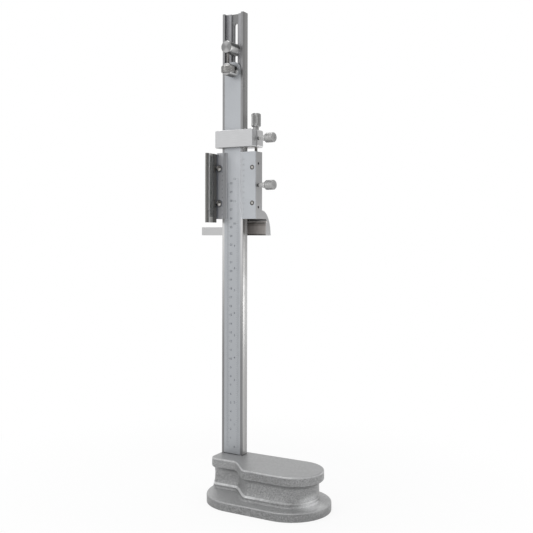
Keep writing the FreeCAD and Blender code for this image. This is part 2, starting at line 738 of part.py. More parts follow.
def slider_frame():
    """The slider's body: a side wall, a back wall, a thick right side and the jaw in one piece."""
    sides = block(SLIDER_LEFT, SLIDER_RIGHT, VERNIER_BACK, SLIDER_BACK, SLIDER_BOTTOM, SLIDER_TOP)
    wall = block(
        SLIDER_LEFT, SLIDER_WALL_RIGHT, COLUMN_DEPTH, SLIDER_WALL_BACK, SLIDER_BOTTOM, SLIDER_TOP
    )
    frame = join(sides, wall, jaw())
    clamp_hole = rod("x", THUMB_RADIUS + BORE_FIT, COLUMN_HALF, SLIDER_RIGHT, CLAMP_Y, SLIDER_MIDDLE)
    gib_holes = [
        rod("x", GIB_SCREW_RADIUS, COLUMN_HALF, SLIDER_RIGHT, CLAMP_Y, level)
        for level in spread_levels(GIB_SCREW_SPREAD)
    ]
    nut_hole = rod("z", FINE_NUT_RADIUS, SLIDER_TOP - FINE_NUT_LENGTH, SLIDER_TOP, FINE_X, FINE_Y)
    well = fine_screw_space(SLIDER_TOP - FINE_WELL, SLIDER_TOP)
    holes = [clamp_hole, nut_hole, well, vernier_screws(), bracket_screws()] + gib_holes
    return carve(frame, column_space(), jaw_relief(), *holes)


def vernier_plate(outer, edge):
    """A vernier plate whose inner edge is bevelled down towards the main scale."""
    inward = math.copysign(VERNIER_BEVEL, outer - edge)
    outline = [
        V(outer, VERNIER_BACK, SLIDER_BOTTOM),
        V(outer, VERNIER_FRONT, SLIDER_BOTTOM),
        V(edge + inward, VERNIER_FRONT, SLIDER_BOTTOM),
        V(edge, VERNIER_BACK - VERNIER_LIP, SLIDER_BOTTOM),
        V(edge, VERNIER_BACK, SLIDER_BOTTOM),
    ]
    return prism(outline, V(0, 0, SLIDER_HEIGHT))


def metric_vernier():
    """The left vernier plate, read against the millimetre side of the main scale."""
    return carve(vernier_plate(SLIDER_LEFT, METRIC_EDGE), bracket_screws())


def inch_vernier():
    """The right vernier plate, read against the inch side of the main scale."""
    return carve(vernier_plate(SLIDER_RIGHT, INCH_EDGE), vernier_screws())


def vernier_screws():
    """The two countersunk screws of the inch vernier."""
    tip = VERNIER_FRONT + PLATE_SCREW_LENGTH
    profile = [
        (VERNIER_FRONT, 0),
        (VERNIER_FRONT, PLATE_SCREW_HEAD_RADIUS),
        (VERNIER_FRONT + PLATE_SCREW_HEAD, PLATE_SCREW_RADIUS),
        (tip, PLATE_SCREW_RADIUS),
        (tip, 0),
    ]
    screws = [turned("y", profile, PLATE_SCREW_X, level) for level in spread_levels(PLATE_SCREW_SPREAD)]
    return Part.makeCompound(screws)


def bracket_screws():
    """The two round-headed screws that hold the magnifier bracket and the metric vernier."""
    return Part.makeCompound([bracket_screw(level) for level in spread_levels(PLATE_SCREW_SPREAD)])


def bracket_screw(level):
    """One round-headed screw."""
    seat = VERNIER_FRONT - BRACKET_FLANGE
    height = BRACKET_SCREW_HEAD
    radius = BRACKET_SCREW_HEAD_RADIUS
    ball_radius = (radius ** 2 + height ** 2) / (2 * height)
    ball = Part.makeSphere(ball_radius, V(BRACKET_SCREW_X, seat - height + ball_radius, level))
    head = ball.common(rod("y", radius, seat - height, seat, BRACKET_SCREW_X, level))
    tip = VERNIER_FRONT + BRACKET_SCREW_LENGTH
    return join(head, rod("y", BRACKET_SCREW_RADIUS, seat, tip, BRACKET_SCREW_X, level))


def slider_gib():
    """The brass strip that takes up the slider's play on the column."""
    return block(
        GIB_LEFT, GIB_RIGHT, GIB_FRONT, GIB_BACK, SLIDER_BOTTOM + GIB_END_GAP, SLIDER_TOP - GIB_END_GAP
    )


def gib_screws():
    """The two set screws that press on the gib."""
    return Part.makeCompound([
        rod("x", GIB_SCREW_RADIUS, GIB_RIGHT, GIB_RIGHT + GIB_SCREW_LENGTH, CLAMP_Y, level)
        for level in spread_levels(GIB_SCREW_SPREAD)
    ])


def hinge_rod(radius, bottom, top):
    """A round bar on the magnifier's hinge axis."""
    return rod("z", radius, bottom, top, HINGE_X, HINGE_Y)


def magnifier_bracket():
    """The folded bracket that carries the magnifier's hinge in front of the metric vernier."""
    back = VERNIER_FRONT
    seat = VERNIER_FRONT - BRACKET_FLANGE
    low = MAGNIFIER_BOTTOM + HINGE_KNUCKLE
    high = MAGNIFIER_TOP - HINGE_KNUCKLE
    inner = BRACKET_OUTER_X + BRACKET_THICKNESS
    clear = HINGE_Y + HINGE_RADIUS + KNUCKLE_ROOM
    wall = block(BRACKET_OUTER_X, inner, clear, back, SLIDER_BOTTOM, MAGNIFIER_TOP)
    tongue = block(BRACKET_OUTER_X, inner, HINGE_Y, clear, low + KNUCKLE_GAP, high - KNUCKLE_GAP)
    lip = block(inner, BRACKET_LIP_RIGHT, seat, back, SLIDER_BOTTOM, MAGNIFIER_TOP)
    ears = [
        rod("y", BRACKET_EAR_RADIUS, seat, back, BRACKET_SCREW_X, level)
        for level in spread_levels(PLATE_SCREW_SPREAD)
    ]
    knuckle = hinge_rod(HINGE_RADIUS, low + KNUCKLE_GAP, high - KNUCKLE_GAP)
    bracket = join(wall, tongue, lip, knuckle, *ears)
    return carve(bracket, hinge_rod(HINGE_PIN_RADIUS, low, high), bracket_screws())


def magnifier_pin():
    """The hinge pin of the magnifier."""
    return hinge_rod(HINGE_PIN_RADIUS, MAGNIFIER_BOTTOM, MAGNIFIER_TOP)


def lens_outline(bottom, top):
    """The lens: a bar with a flat back and a bulging front."""
    back = LENS_FRAME_LEFT
    front = back + LENS_THICKNESS
    middle = (LENS_NEAR_Y + LENS_FAR_Y) / 2
    near_front = V(front, LENS_NEAR_Y, bottom)
    far_front = V(front, LENS_FAR_Y, bottom)
    bulge = Part.Arc(near_front, V(front + LENS_BULGE, middle, bottom), far_front).toShape()
    flat = Part.makePolygon([
        far_front,
        V(back, LENS_FAR_Y, bottom),
        V(back, LENS_NEAR_Y, bottom),
        near_front,
    ])
    return Part.Face(Part.Wire([bulge] + flat.Edges)).extrude(V(0, 0, top - bottom))


def magnifier_lens():
    """The reading lens in its frame."""
    return lens_outline(SLIDER_BOTTOM + LENS_BORDER, MAGNIFIER_TOP - LENS_BORDER)


def magnifier_frame():
    """The lens frame, folded back beside the verniers, with a knuckle at each end of the hinge."""
    clear = HINGE_Y + HINGE_RADIUS + KNUCKLE_ROOM
    panel = block(
        LENS_FRAME_LEFT, LENS_FRAME_RIGHT, clear, LENS_FRAME_END_Y, MAGNIFIER_BOTTOM, MAGNIFIER_TOP
    )
    pieces = [panel]
    for bottom in (MAGNIFIER_BOTTOM, MAGNIFIER_TOP - HINGE_KNUCKLE):
        top = bottom + HINGE_KNUCKLE
        pieces.append(hinge_rod(HINGE_RADIUS, bottom, top))
        pieces.append(block(LENS_FRAME_LEFT, LENS_FRAME_RIGHT, HINGE_Y, clear, bottom, top))
    window = block(
        LENS_FRAME_LEFT,
        LENS_FRAME_RIGHT,
        LENS_NEAR_Y,
        LENS_FAR_Y,
        SLIDER_BOTTOM + LENS_BORDER,
        MAGNIFIER_TOP - LENS_BORDER,
    )
    notches = [
        rod("x", LENS_NOTCH_RADIUS, LENS_FRAME_LEFT, LENS_FRAME_RIGHT, VERNIER_FRONT - BRACKET_FLANGE, level)
        for level in spread_levels(PLATE_SCREW_SPREAD)
    ]
    bore = hinge_rod(HINGE_PIN_RADIUS + BORE_FIT, MAGNIFIER_BOTTOM, MAGNIFIER_TOP)
    return carve(join(*pieces), window, bore, *notches)


PIECES = {
    "base_casting": base_casting,
    "column_beam": beam,
    "column_screws": column_screws,
    "main_scale": main_scale,
    "scale_post": scale_post,
    "scale_wheel": scale_wheel,
    "scale_rod": scale_rod,
    "anchor_post": anchor_post,
    "anchor_clamp_screw": anchor_clamp_screw,
    "carriage_front": carriage_front,
    "carriage_rear": carriage_rear,
    "carriage_screws": carriage_screws,
    "carriage_press_pad": lambda: press_pad(CARRIAGE_MIDDLE),
    "carriage_clamp_screw": carriage_clamp_screw,
    "fine_screw": fine_screw,
    "fine_nut": fine_nut,
    "slider_frame": slider_frame,
    "metric_vernier": metric_vernier,
    "inch_vernier": inch_vernier,
    "vernier_screws": vernier_screws,
    "slider_gib": slider_gib,
    "gib_screws": gib_screws,
    "slider_clamp_screw": slider_clamp_screw,
    "magnifier_bracket": magnifier_bracket,
    "bracket_screws": bracket_screws,
    "magnifier_pin": magnifier_pin,
    "magnifier_frame": magnifier_frame,
    "magnifier_lens": magnifier_lens,
}


def main():
    """Builds every piece and writes it to its own file."""
    os.makedirs("parts", exist_ok=True)
    for name, build in PIECES.items():
        shape = build()
        if not shape.isValid():
            raise ValueError(name + " is not a sound shape")
        print(name, len(shape.Solids), round(shape.Volume / 1000, 2), "cubic centimetres")
        shape.exportStep("parts/" + name + ".step")


main()
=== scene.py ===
"""The looks of a column height gauge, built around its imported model.

The gauge has a cast base, a grooved column with a movable main scale, a slider with two verniers
and a jaw, a carriage that sets it finely, and a folding magnifier. Lengths are in metres, and
values written with MM are millimetres.
"""

import logging
import math
from dataclasses import dataclass
from enum import Enum
from typing import Iterable, Sequence

import bmesh
import bpy
from mathutils import Matrix, Vector


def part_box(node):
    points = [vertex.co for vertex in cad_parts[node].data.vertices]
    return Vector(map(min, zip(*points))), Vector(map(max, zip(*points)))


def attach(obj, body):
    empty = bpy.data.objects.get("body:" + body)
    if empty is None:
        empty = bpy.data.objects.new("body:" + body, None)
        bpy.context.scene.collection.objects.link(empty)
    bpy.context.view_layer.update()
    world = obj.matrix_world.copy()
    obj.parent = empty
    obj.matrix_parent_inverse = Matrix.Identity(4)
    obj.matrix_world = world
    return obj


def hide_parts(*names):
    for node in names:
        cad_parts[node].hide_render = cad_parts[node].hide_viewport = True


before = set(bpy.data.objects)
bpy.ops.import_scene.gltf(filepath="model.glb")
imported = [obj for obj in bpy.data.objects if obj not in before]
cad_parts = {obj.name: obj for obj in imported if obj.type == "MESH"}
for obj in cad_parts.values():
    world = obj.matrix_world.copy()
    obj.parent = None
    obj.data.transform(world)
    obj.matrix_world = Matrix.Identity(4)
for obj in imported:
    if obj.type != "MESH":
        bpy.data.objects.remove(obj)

LOG = logging.getLogger("height_gauge")
MM = 0.001
INCH = 25.4 * MM
FAR = 10000.0
PHOTO_PIXELS = 533
SMOOTH_ANGLE = math.radians(32)
CLOUD_SCALE = 34.0
GRAIN_RELIEF = 0.004 * MM
GRAIN_STRENGTH = 0.55
UNEVEN = (0.88, 1.14)
INK_DEPTH = 0.03 * MM
SCREW_STEPS = 40

Triple = tuple[float, float, float]
Colour = Triple
Span = tuple[float, float]
Point = tuple[float, float]
Profile = Sequence[Point]
Mesh = bmesh.types.BMesh
Node = bpy.types.Node
Socket = bpy.types.NodeSocket

ALL = (-FAR, FAR)


class Axis(Enum):
    """A direction that a turned piece points in, as the angle and axis of a turn."""

    RIGHT = (math.pi / 2, "Y")
    FRONT = (math.pi / 2, "X")
    BACK = (-math.pi / 2, "X")

    def matrix(self) -> Matrix:
        """The turn that takes +Z to this direction."""
        angle, axis = self.value
        return Matrix.Rotation(angle, 4, axis)


class Grain(Enum):
    """The way the marks of machining run on a surface."""

    UPRIGHT = (1.0, 1.0, 0.02)
    LEVEL = (0.02, 1.0, 1.0)
    EVEN = (1.0, 1.0, 1.0)


class Knurl(Enum):
    """The pattern rolled into a grip."""

    DIAMOND = "diamond"
    STRAIGHT = "straight"


def shade(colour: Colour, factor: float) -> Colour:
    """A colour made lighter or darker."""
    return tuple(min(1.0, part * factor) for part in colour)


class Nodes:
    """A short way to wire up one node tree."""

    def __init__(self, tree: bpy.types.NodeTree) -> None:
        """Keeps the tree and empties it."""
        self.tree = tree
        tree.nodes.clear()

    def add(self, kind: str, inputs: dict[str | int, object] | None = None, **settings: object) -> Node:
        """Adds a node.

        Args:
            kind: The node's type name.
            inputs: A socket or a plain value for inputs, by name or number.
            settings: Attributes to set on the node.

        Returns:
            The new node.
        """
        node = self.tree.nodes.new(kind)
        for name, value in settings.items():
            setattr(node, name, value)
        for name, value in (inputs or {}).items():
            if isinstance(value, Socket):
                self.tree.links.new(value, node.inputs[name])
            else:
                node.inputs[name].default_value = value
        return node

    def maths(self, operation: str, *terms: Socket | float) -> Socket:
        """The result of one sum on sockets or numbers."""
        return self.add("ShaderNodeMath", dict(enumerate(terms)), operation=operation).outputs[0]

    def place(self, scale: Sequence[float] = (1, 1, 1), location: Sequence[float] = (0, 0, 0)) -> Socket:
        """Object coordinates, scaled and then moved.

        Args:
            scale: Factor along each axis.
            location: Offset that is added after scaling.

        Returns:
            The vector.
        """
        source = self.add("ShaderNodeTexCoord").outputs["Object"]
        inputs = {"Scale": scale, "Location": location, "Vector": source}
        return self.add("ShaderNodeMapping", inputs).outputs[0]

    def split(self, vector: Socket) -> Sequence[Socket]:
        """The three parts of a vector."""
        return self.add("ShaderNodeSeparateXYZ", {0: vector}).outputs

    def axes(self) -> Sequence[Socket]:
        """The three Object coordinates by themselves."""
        return self.split(self.place())

    def length(self, vector: Socket) -> Socket:
        """How long a vector is."""
        return self.add("ShaderNodeVectorMath", {0: vector}, operation="LENGTH").outputs["Value"]

    def noise(self, vector: Socket, scale: float = 1.0, detail: float = 3.0) -> Socket:
        """Noise from 0 to 1, read at a vector."""
        inputs = {"Scale": scale, "Detail": detail, "Vector": vector}
        return self.add("ShaderNodeTexNoise", inputs).outputs["Fac"]

    def remap(self, kind: str, value: Socket, source: Span, target: Span) -> Socket:
        """A value carried from one range to another.

        Args:
            kind: How it is interpolated.
            value: The value.
            source: The range that it comes from.
            target: The range that it goes to.

        Returns:
            The new value.
        """
        names = ("Value", "From Min", "From Max", "To Min", "To Max")
        inputs = dict(zip(names, (value, *source, *target)))
        return self.add("ShaderNodeMapRange", inputs, interpolation_type=kind).outputs["Result"]

    def spread(self, value: Socket, low: float, high: float) -> Socket:
        """Noise stretched so that 0.3 becomes the low number and 0.7 the high one."""
        return self.remap("LINEAR", value, (0.3, 0.7), (low, high))

    def around(self, noise: Socket, middle: float, low: float, high: float) -> Socket:
        """A number that noise changes between two multiples of itself."""
        return self.spread(noise, middle * low, middle * high)

    def ramp(self, value: Socket, start: float, end: float, low: float = 0.0, high: float = 1.0) -> Socket:
        """A smooth change from the low number to the high one, between a start and an end."""
        return self.remap("SMOOTHSTEP", value, (start, end), (low, high))

    def fade(self, value: Socket, start: float, end: float) -> Socket:
        """A smooth fall from 1 to 0."""
        return self.ramp(value, start, end, 1.0, 0.0)

    def band(self, value: Socket, low: float, high: float, soft: float) -> Socket:
        """1 between two levels, falling to 0 beyond them over a soft width."""
        return self.maths("MULTIPLY", self.ramp(value, low - soft, low), self.fade(value, high, high + soft))

    def above(self, value: Socket, level: float) -> Socket:
        """1 where a value is above a level, else 0."""
        return self.maths("GREATER_THAN", value, level)

    def mix(self, factor: Socket, low: Colour | Socket, high: Colour | Socket) -> Socket:
        """A colour between two others, each a plain colour or a socket."""
        low, high = (end if isinstance(end, Socket) else (*end, 1) for end in (low, high))
        return self.add("ShaderNodeMix", {"Factor": factor, 6: low, 7: high}, data_type="RGBA").outputs[2]

    def varied(self, factor: Socket, colour: Colour, low: float, high: float) -> Socket:
        """A colour that changes between two multiples of itself."""
        return self.mix(factor, shade(colour, low), shade(colour, high))

    def share(self, factor: Socket, low: float | Socket, high: float | Socket) -> Socket:
        """A number between two others, each a plain number or a socket."""
        return self.add("ShaderNodeMix", {"Factor": factor, 2: low, 3: high}, data_type="FLOAT").outputs[0]

    def bump(self, height: Socket, depth: float, strength: float) -> Socket:
        """The normal of a relief, with the depth in metres of a height of 1."""
        inputs = {"Distance": depth, "Strength": strength, "Height": height}
        return self.add("ShaderNodeBump", inputs).outputs["Normal"]

    def surface(self, inputs: dict[str, object]) -> None:
        """Sends the main shader, with these inputs, to the output."""
        shader = self.add("ShaderNodeBsdfPrincipled", inputs).outputs["BSDF"]
        self.add("ShaderNodeOutputMaterial", {"Surface": shader})

    def either(self, output: str, factor: Socket, first: Node, second: Node) -> None:
        """Sends a mix of two shader nodes to the output."""
        inputs = {0: factor, 1: first.outputs[0], 2: second.outputs[0]}
        self.add(output, {"Surface": self.add("ShaderNodeMixShader", inputs).outputs[0]})


@dataclass(frozen=True)
class Patch:
    """A part of a surface in another colour, between two places on each axis, in millimetres; most patches
    here paint light or shade.
    """

    colour: Colour
    x: Span = ALL
    y: Span = ALL
    z: Span = ALL
    metallic: float | None = None
    soft: float = 0.05

    def mask(self, nodes: Nodes) -> Socket:
        """1 on the patch and 0 off it.

        Args:
            nodes: The material's nodes.

        Returns:
            The value.
        """
        covered = None
        for part, span in zip(nodes.axes(), (self.x, self.y, self.z)):
            if span == ALL:
                continue
            inside = nodes.band(part, span[0] * MM, span[1] * MM, self.soft * MM)
            covered = nodes.maths("MULTIPLY", covered, inside) if covered else inside
        return covered


@dataclass(frozen=True)
class Finish:
    """What a surface looks like."""

    name: str

    def material(self) -> bpy.types.Material:
        """Builds the material.

        Returns:
            The new material.
        """
        made = bpy.data.materials.new(self.name)
        made.use_nodes = True
        self.wire(Nodes(made.node_tree))
        return made

    def wire(self, nodes: Nodes) -> None:
        """Wires up the material's nodes."""
        raise NotImplementedError


@dataclass(frozen=True)
class MetalFinish(Finish):
    """A machined metal: grain lines, slow changes of tone and a fine relief."""

    colour: Colour
    metallic: float = 0.9
    roughness: float = 0.34
    grain: Grain = Grain.UPRIGHT
    grain_size: float = 0.25 * MM
    tone: float = 0.08
    patches: Sequence[Patch] = ()

    def wire(self, nodes: Nodes) -> None:
        """Wires up the grain and the patches.

        Args:
            nodes: The material's nodes.
        """
        lines = nodes.noise(nodes.place([part / self.grain_size for part in self.grain.value]))
        cloud = nodes.noise(nodes.place(), CLOUD_SCALE)
        marks = nodes.maths("ADD", nodes.spread(lines, 0.0, 0.62), nodes.spread(cloud, 0.0, 0.38))
        tones = (1 - self.tone, 1 + self.tone)
        colour = nodes.varied(marks, self.colour, *tones)
        metal = self.metallic
        for patch in self.patches:
            mask = patch.mask(nodes)
            colour = nodes.mix(mask, colour, nodes.varied(marks, patch.colour, *tones))
            if patch.metallic is not None:
                metal = nodes.share(mask, metal, patch.metallic)
        nodes.surface({
            "Base Color": colour,
            "Metallic": metal,
            "Roughness": nodes.around(cloud, self.roughness, *UNEVEN),
            "Normal": nodes.bump(lines, GRAIN_RELIEF, GRAIN_STRENGTH),
        })


@dataclass(frozen=True)
class ColumnFinish(Finish):
    """Ground steel with painted light and shade: sides lighter low down and darker upwards, a sheen on the
    front, a shaded groove floor and foot gap, and a channel of its own tone.
    """

    front: Colour
    # The front's colour over a band of heights, a painted sheen of reflected light.
    front_sheen: Colour
    side_low: Colour
    side_high: Colour
    channel: Colour
    groove: Colour
    foot: Colour
    half_width: float
    channel_depth: float
    groove_depth: float
    foot_level: float
    edge: float = 0.2 * MM
    sheen_rise: Span = (0.14, 0.3)
    sheen_fall: Span = (0.32, 0.38)
    side_change: Span = (0.1, 0.5)
    streaks: Triple = (4000, 4000, 80)
    metallic: float = 0.9
    dull: float = 0.15
    roughness: float = 0.3

    def wire(self, nodes: Nodes) -> None:
        """Wires up the tones by place.

        Args:
            nodes: The material's nodes.
        """
        x, y, z = nodes.axes()
        sideways = nodes.above(nodes.maths("ABSOLUTE", x), self.half_width - self.edge)
        inside = nodes.above(y, self.channel_depth - self.edge)
        deepest = nodes.above(y, self.groove_depth - self.edge)
        lines = nodes.noise(nodes.place(self.streaks))
        streak = nodes.spread(lines, 0, 1)
        tones = (self.front, self.front_sheen, self.side_low, self.side_high, self.channel, self.groove, self.foot)
        front, front_sheen, low, high, channel, groove, foot = (
            nodes.varied(streak, tone, 0.93, 1.07) for tone in tones
        )
        # Painted sheen: the front lighter over a band of heights, where it reflects more light.
        highlight_bands = nodes.maths("MULTIPLY", nodes.ramp(z, *self.sheen_rise), nodes.fade(z, *self.sheen_fall))
        deep = nodes.mix(inside, nodes.mix(highlight_bands, front, front_sheen), channel)
        # Painted light: the narrow sides lighter low down and darker upwards, as the light falls on them.
        side = nodes.mix(nodes.ramp(z, *self.side_change), low, high)
        # Painted shade: the groove's floor darker than the channel around it.
        whole = nodes.mix(sideways, nodes.mix(deepest, deep, groove), side)
        # Painted shade: the right corner at the foot nearly black, for the shadow in the gap where the column
        # enters the base.
        corner = nodes.maths(
            "MULTIPLY", nodes.above(x, self.half_width - 1.2 * MM),
            nodes.fade(z, self.foot_level, self.foot_level + 0.8 * MM),
        )
        cloud = nodes.noise(nodes.place(), CLOUD_SCALE)
        nodes.surface({
            "Base Color": nodes.mix(corner, whole, foot),
            "Metallic": nodes.share(inside, self.metallic, self.dull),
            "Roughness": nodes.around(cloud, self.roughness, *UNEVEN),
            "Normal": nodes.bump(lines, GRAIN_RELIEF, GRAIN_STRENGTH),
        })


@dataclass(frozen=True)
class TurnedFinish(Finish):
    """Turned metal on an axis along Y, with fine rings, painted highlight fans up and down the face, and a
    painted highlight streak on a round side painted dark.
    """

    colour: Colour
    lit: Colour
    centre: Triple
    radius: float
    roughness: float = 0.36
    ring: float = 0.22 * MM
    relief: float = 0.012 * MM
    face_depth: float = 0.5 * MM
    fan: Span = (-0.2, 0.5)
    streak: Triple = (-0.62, -0.12, 0.3)
    face_shares: tuple[Span, Span] = ((0.66, 0.84), (1.2, 1.45))
    side_shares: tuple[Span, Span] = ((0.08, 0.24), (0.85, 1.15))
    side_metallic: float = 0.45

    def wire(self, nodes: Nodes) -> None:
        """Wires up the rings, the painted highlight fans on the face and the painted streak on the round
        side.

        Args:
            nodes: The material's nodes.
        """
        place = nodes.place(location=[-part for part in self.centre])
        rings = nodes.add(
            "ShaderNodeTexWave", {"Scale": 0.314 / self.ring, "Distortion": 0.6, "Vector": place},
            wave_type="RINGS", rings_direction="Y",
        )
        x, y, z = nodes.split(place)
        lean = nodes.maths("SUBTRACT", nodes.maths("ABSOLUTE", z), nodes.maths("ABSOLUTE", x))
        fan = nodes.ramp(lean, *(share * self.radius for share in self.fan))
        cloud = nodes.noise(nodes.place(), 260.0, 2.0)
        tone = nodes.spread(cloud, 0, 1)
        # Painted highlight: the face brighter in fans above and below the middle.
        face = nodes.mix(fan, *(nodes.varied(tone, self.colour, *shares) for shares in self.face_shares))
        # Painted highlight: a bright streak low on the round side, which is painted dark elsewhere.
        streak = nodes.band(z, *(share * self.radius for share in self.streak))
        side = nodes.mix(streak, *(nodes.varied(tone, self.lit, *shares) for shares in self.side_shares))
        behind = nodes.above(y, self.face_depth)
        nodes.surface({
            "Base Color": nodes.mix(behind, face, side),
            "Metallic": nodes.share(behind, 1.0, self.side_metallic),
            "Roughness": nodes.around(cloud, self.roughness, 0.8, 1.25),
            "Normal": nodes.bump(rings.outputs["Fac"], self.relief, 0.5),
        })


@dataclass(frozen=True)
class CastFinish(Finish):
    """Silver-grey cast metal with a pitted skin, ground flat above one level, with painted light and shade: a
    lighter shelf, a darker foot side and table edge, highlights along the edges and a glow on the cove.

    Each painted highlight strip is (low level, high level, reach along X, brightness), in millimetres.
    """

    skin: Colour
    ground: Colour
    ground_level: float
    highlight_bands: Sequence[tuple[float, float, float, float]]
    glow: Triple
    glow_size: Triple
    rim_level: float
    step_level: float
    table_level: float
    table_shade: Triple
    rim_share: float = 0.8
    shelf_share: float = 1.25
    metallic: float = 0.5
    pit_size: float = 2.0 * MM
    pit_depth: float = 0.5 * MM
    grinding: float = 0.3 * MM
    speck_scale: float = 1.9
    speckle: Span = (0.62, 1.42)
    glow_share: Span = (2.0, 3.2)
    roughness: Span = (0.34, 0.5)

    def wire(self, nodes: Nodes) -> None:
        """Wires up the skin, its worn places and the ground top.

        Args:
            nodes: The material's nodes.
        """
        place = nodes.place()
        x, _, level = nodes.axes()
        coarse = nodes.noise(place, 1 / self.pit_size)
        fine = nodes.noise(place, self.speck_scale / self.pit_size)
        strokes = (0.04 / self.grinding, 1 / self.grinding, 1 / self.grinding)
        lines = nodes.noise(nodes.place(strokes), detail=2.0)
        flat = nodes.above(level, self.ground_level)
        speck = nodes.spread(fine, 0, 1)
        low, high = self.speckle
        cast, pale, rim = (
            nodes.varied(speck, self.skin, low * share, high * share)
            for share in (1.0, self.shelf_share, self.rim_share)
        )
        # Painted light: the shelf on top of the foot lighter, where it faces up into the light.
        shelf = nodes.band(level, self.rim_level + 0.4 * MM, self.step_level, 0.6 * MM)
        # Painted shade: the foot's side, below the rim, darker.
        cast = nodes.mix(nodes.above(level, self.rim_level), rim, nodes.mix(shelf, cast, pale))
        # Painted shade: the table's edge darker over a stretch along X.
        table = nodes.band(level, self.table_level, self.ground_level, 1.0 * MM)
        cast = nodes.mix(nodes.maths("MULTIPLY", table, nodes.band(x, *self.table_shade)), cast, rim)
        patchy = nodes.spread(nodes.noise(place, 90.0, 2.0), 0.45, 1.0)
        # Painted highlights: bright strips along the rounded edges of the foot, the ridge and the table,
        # broken into patches.
        for low, high, reach, highlight_gain in self.highlight_bands:
            highlight_tone = nodes.varied(nodes.spread(coarse, 0, 1), self.skin, highlight_gain * 0.85, highlight_gain * 1.15)
            fading = nodes.maths("MULTIPLY", nodes.fade(x, 0.25 * reach * MM, reach * MM), patchy)
            strip = nodes.maths("MULTIPLY", nodes.band(level, low * MM, high * MM, 0.5 * MM), fading)
            cast = nodes.mix(strip, cast, highlight_tone)
        # Painted highlight: a soft bright glow on the cove at the round end.
        nearby = nodes.place(
            [1 / size for size in self.glow_size],
            [-part / size for part, size in zip(self.glow, self.glow_size)],
        )
        shine = nodes.fade(nodes.length(nearby), 0.1, 1.0)
        cast = nodes.mix(shine, cast, nodes.varied(speck, self.skin, *self.glow_share))
        ground = nodes.varied(nodes.spread(lines, 0, 1), self.ground, 0.95, 1.05)
        height = nodes.share(flat, coarse, nodes.spread(lines, 0.49, 0.51))
        nodes.surface({
            "Base Color": nodes.mix(flat, cast, ground),
            "Metallic": self.metallic,
            "Roughness": nodes.spread(coarse, *self.roughness),
            "Normal": nodes.bump(height, self.pit_depth, 0.8),
        })


@dataclass(frozen=True)
class HeadFinish(Finish):
    """Slotted screw heads that face forwards: a dark rim of painted shade, and painted fans of highlight and
    dark reflection on two diagonals.
    """

    dark: Colour
    light: Colour
    other: Colour
    centres: Sequence[Point]
    radius: float
    rim: float
    metallic: float = 0.5
    roughness: float = 0.3

    def wire(self, nodes: Nodes) -> None:
        """Wires up each head about its own centre.

        Args:
            nodes: The material's nodes.
        """
        colour = self.dark
        for x, z in self.centres:
            place = nodes.place((1, 0, 1), (-x, 0, -z))
            across, _, up = nodes.split(place)
            away = nodes.length(place)
            soft = 0.1 * self.radius ** 2
            # Painted reflection: light and dark fans on the two diagonals.
            fan = nodes.ramp(nodes.maths("MULTIPLY", across, up), -soft, soft)
            # Painted shade: the dark rim round the head's edge.
            edge = nodes.ramp(away, self.rim * self.radius, (self.rim + 0.12) * self.radius)
            head = nodes.mix(edge, nodes.mix(fan, self.light, self.other), self.dark)
            colour = nodes.mix(nodes.fade(away, self.radius, 1.5 * self.radius), colour, head)
        nodes.surface({"Base Color": colour, "Metallic": self.metallic, "Roughness": self.roughness})


@dataclass(frozen=True)
class InkFinish(Finish):
    """The dark fill of engraved lines and numbers."""

    name: str = "engraving_fill"
    colour: Colour = (0.05, 0.055, 0.065)
    roughness: float = 0.55

    def wire(self, nodes: Nodes) -> None:
        """Wires up the specks."""
        speck = nodes.spread(nodes.noise(nodes.place(), 3000.0, 2.0), 0, 1)
        nodes.surface({"Base Color": nodes.varied(speck, self.colour, 1.0, 2.2), "Roughness": self.roughness})


@dataclass(frozen=True)
class LensFinish(Finish):
    """Clear polished lens with the faintest smears."""

    name: str = "lens_glass"
    low: Colour = (0.5, 0.51, 0.5)
    high: Colour = (0.62, 0.63, 0.62)
    clear: float = 0.85
    bending: float = 1.49

    def wire(self, nodes: Nodes) -> None:
        """Wires up the smears.

        Args:
            nodes: The material's nodes.
        """
        smear = nodes.noise(nodes.place((1, 1, 0.2)), 420.0)
        nodes.surface({
            "Base Color": nodes.mix(nodes.spread(smear, 0, 1), self.low, self.high),
            "Roughness": nodes.spread(smear, 0.04, 0.12),
            "Transmission Weight": self.clear,
            "IOR": self.bending,
        })


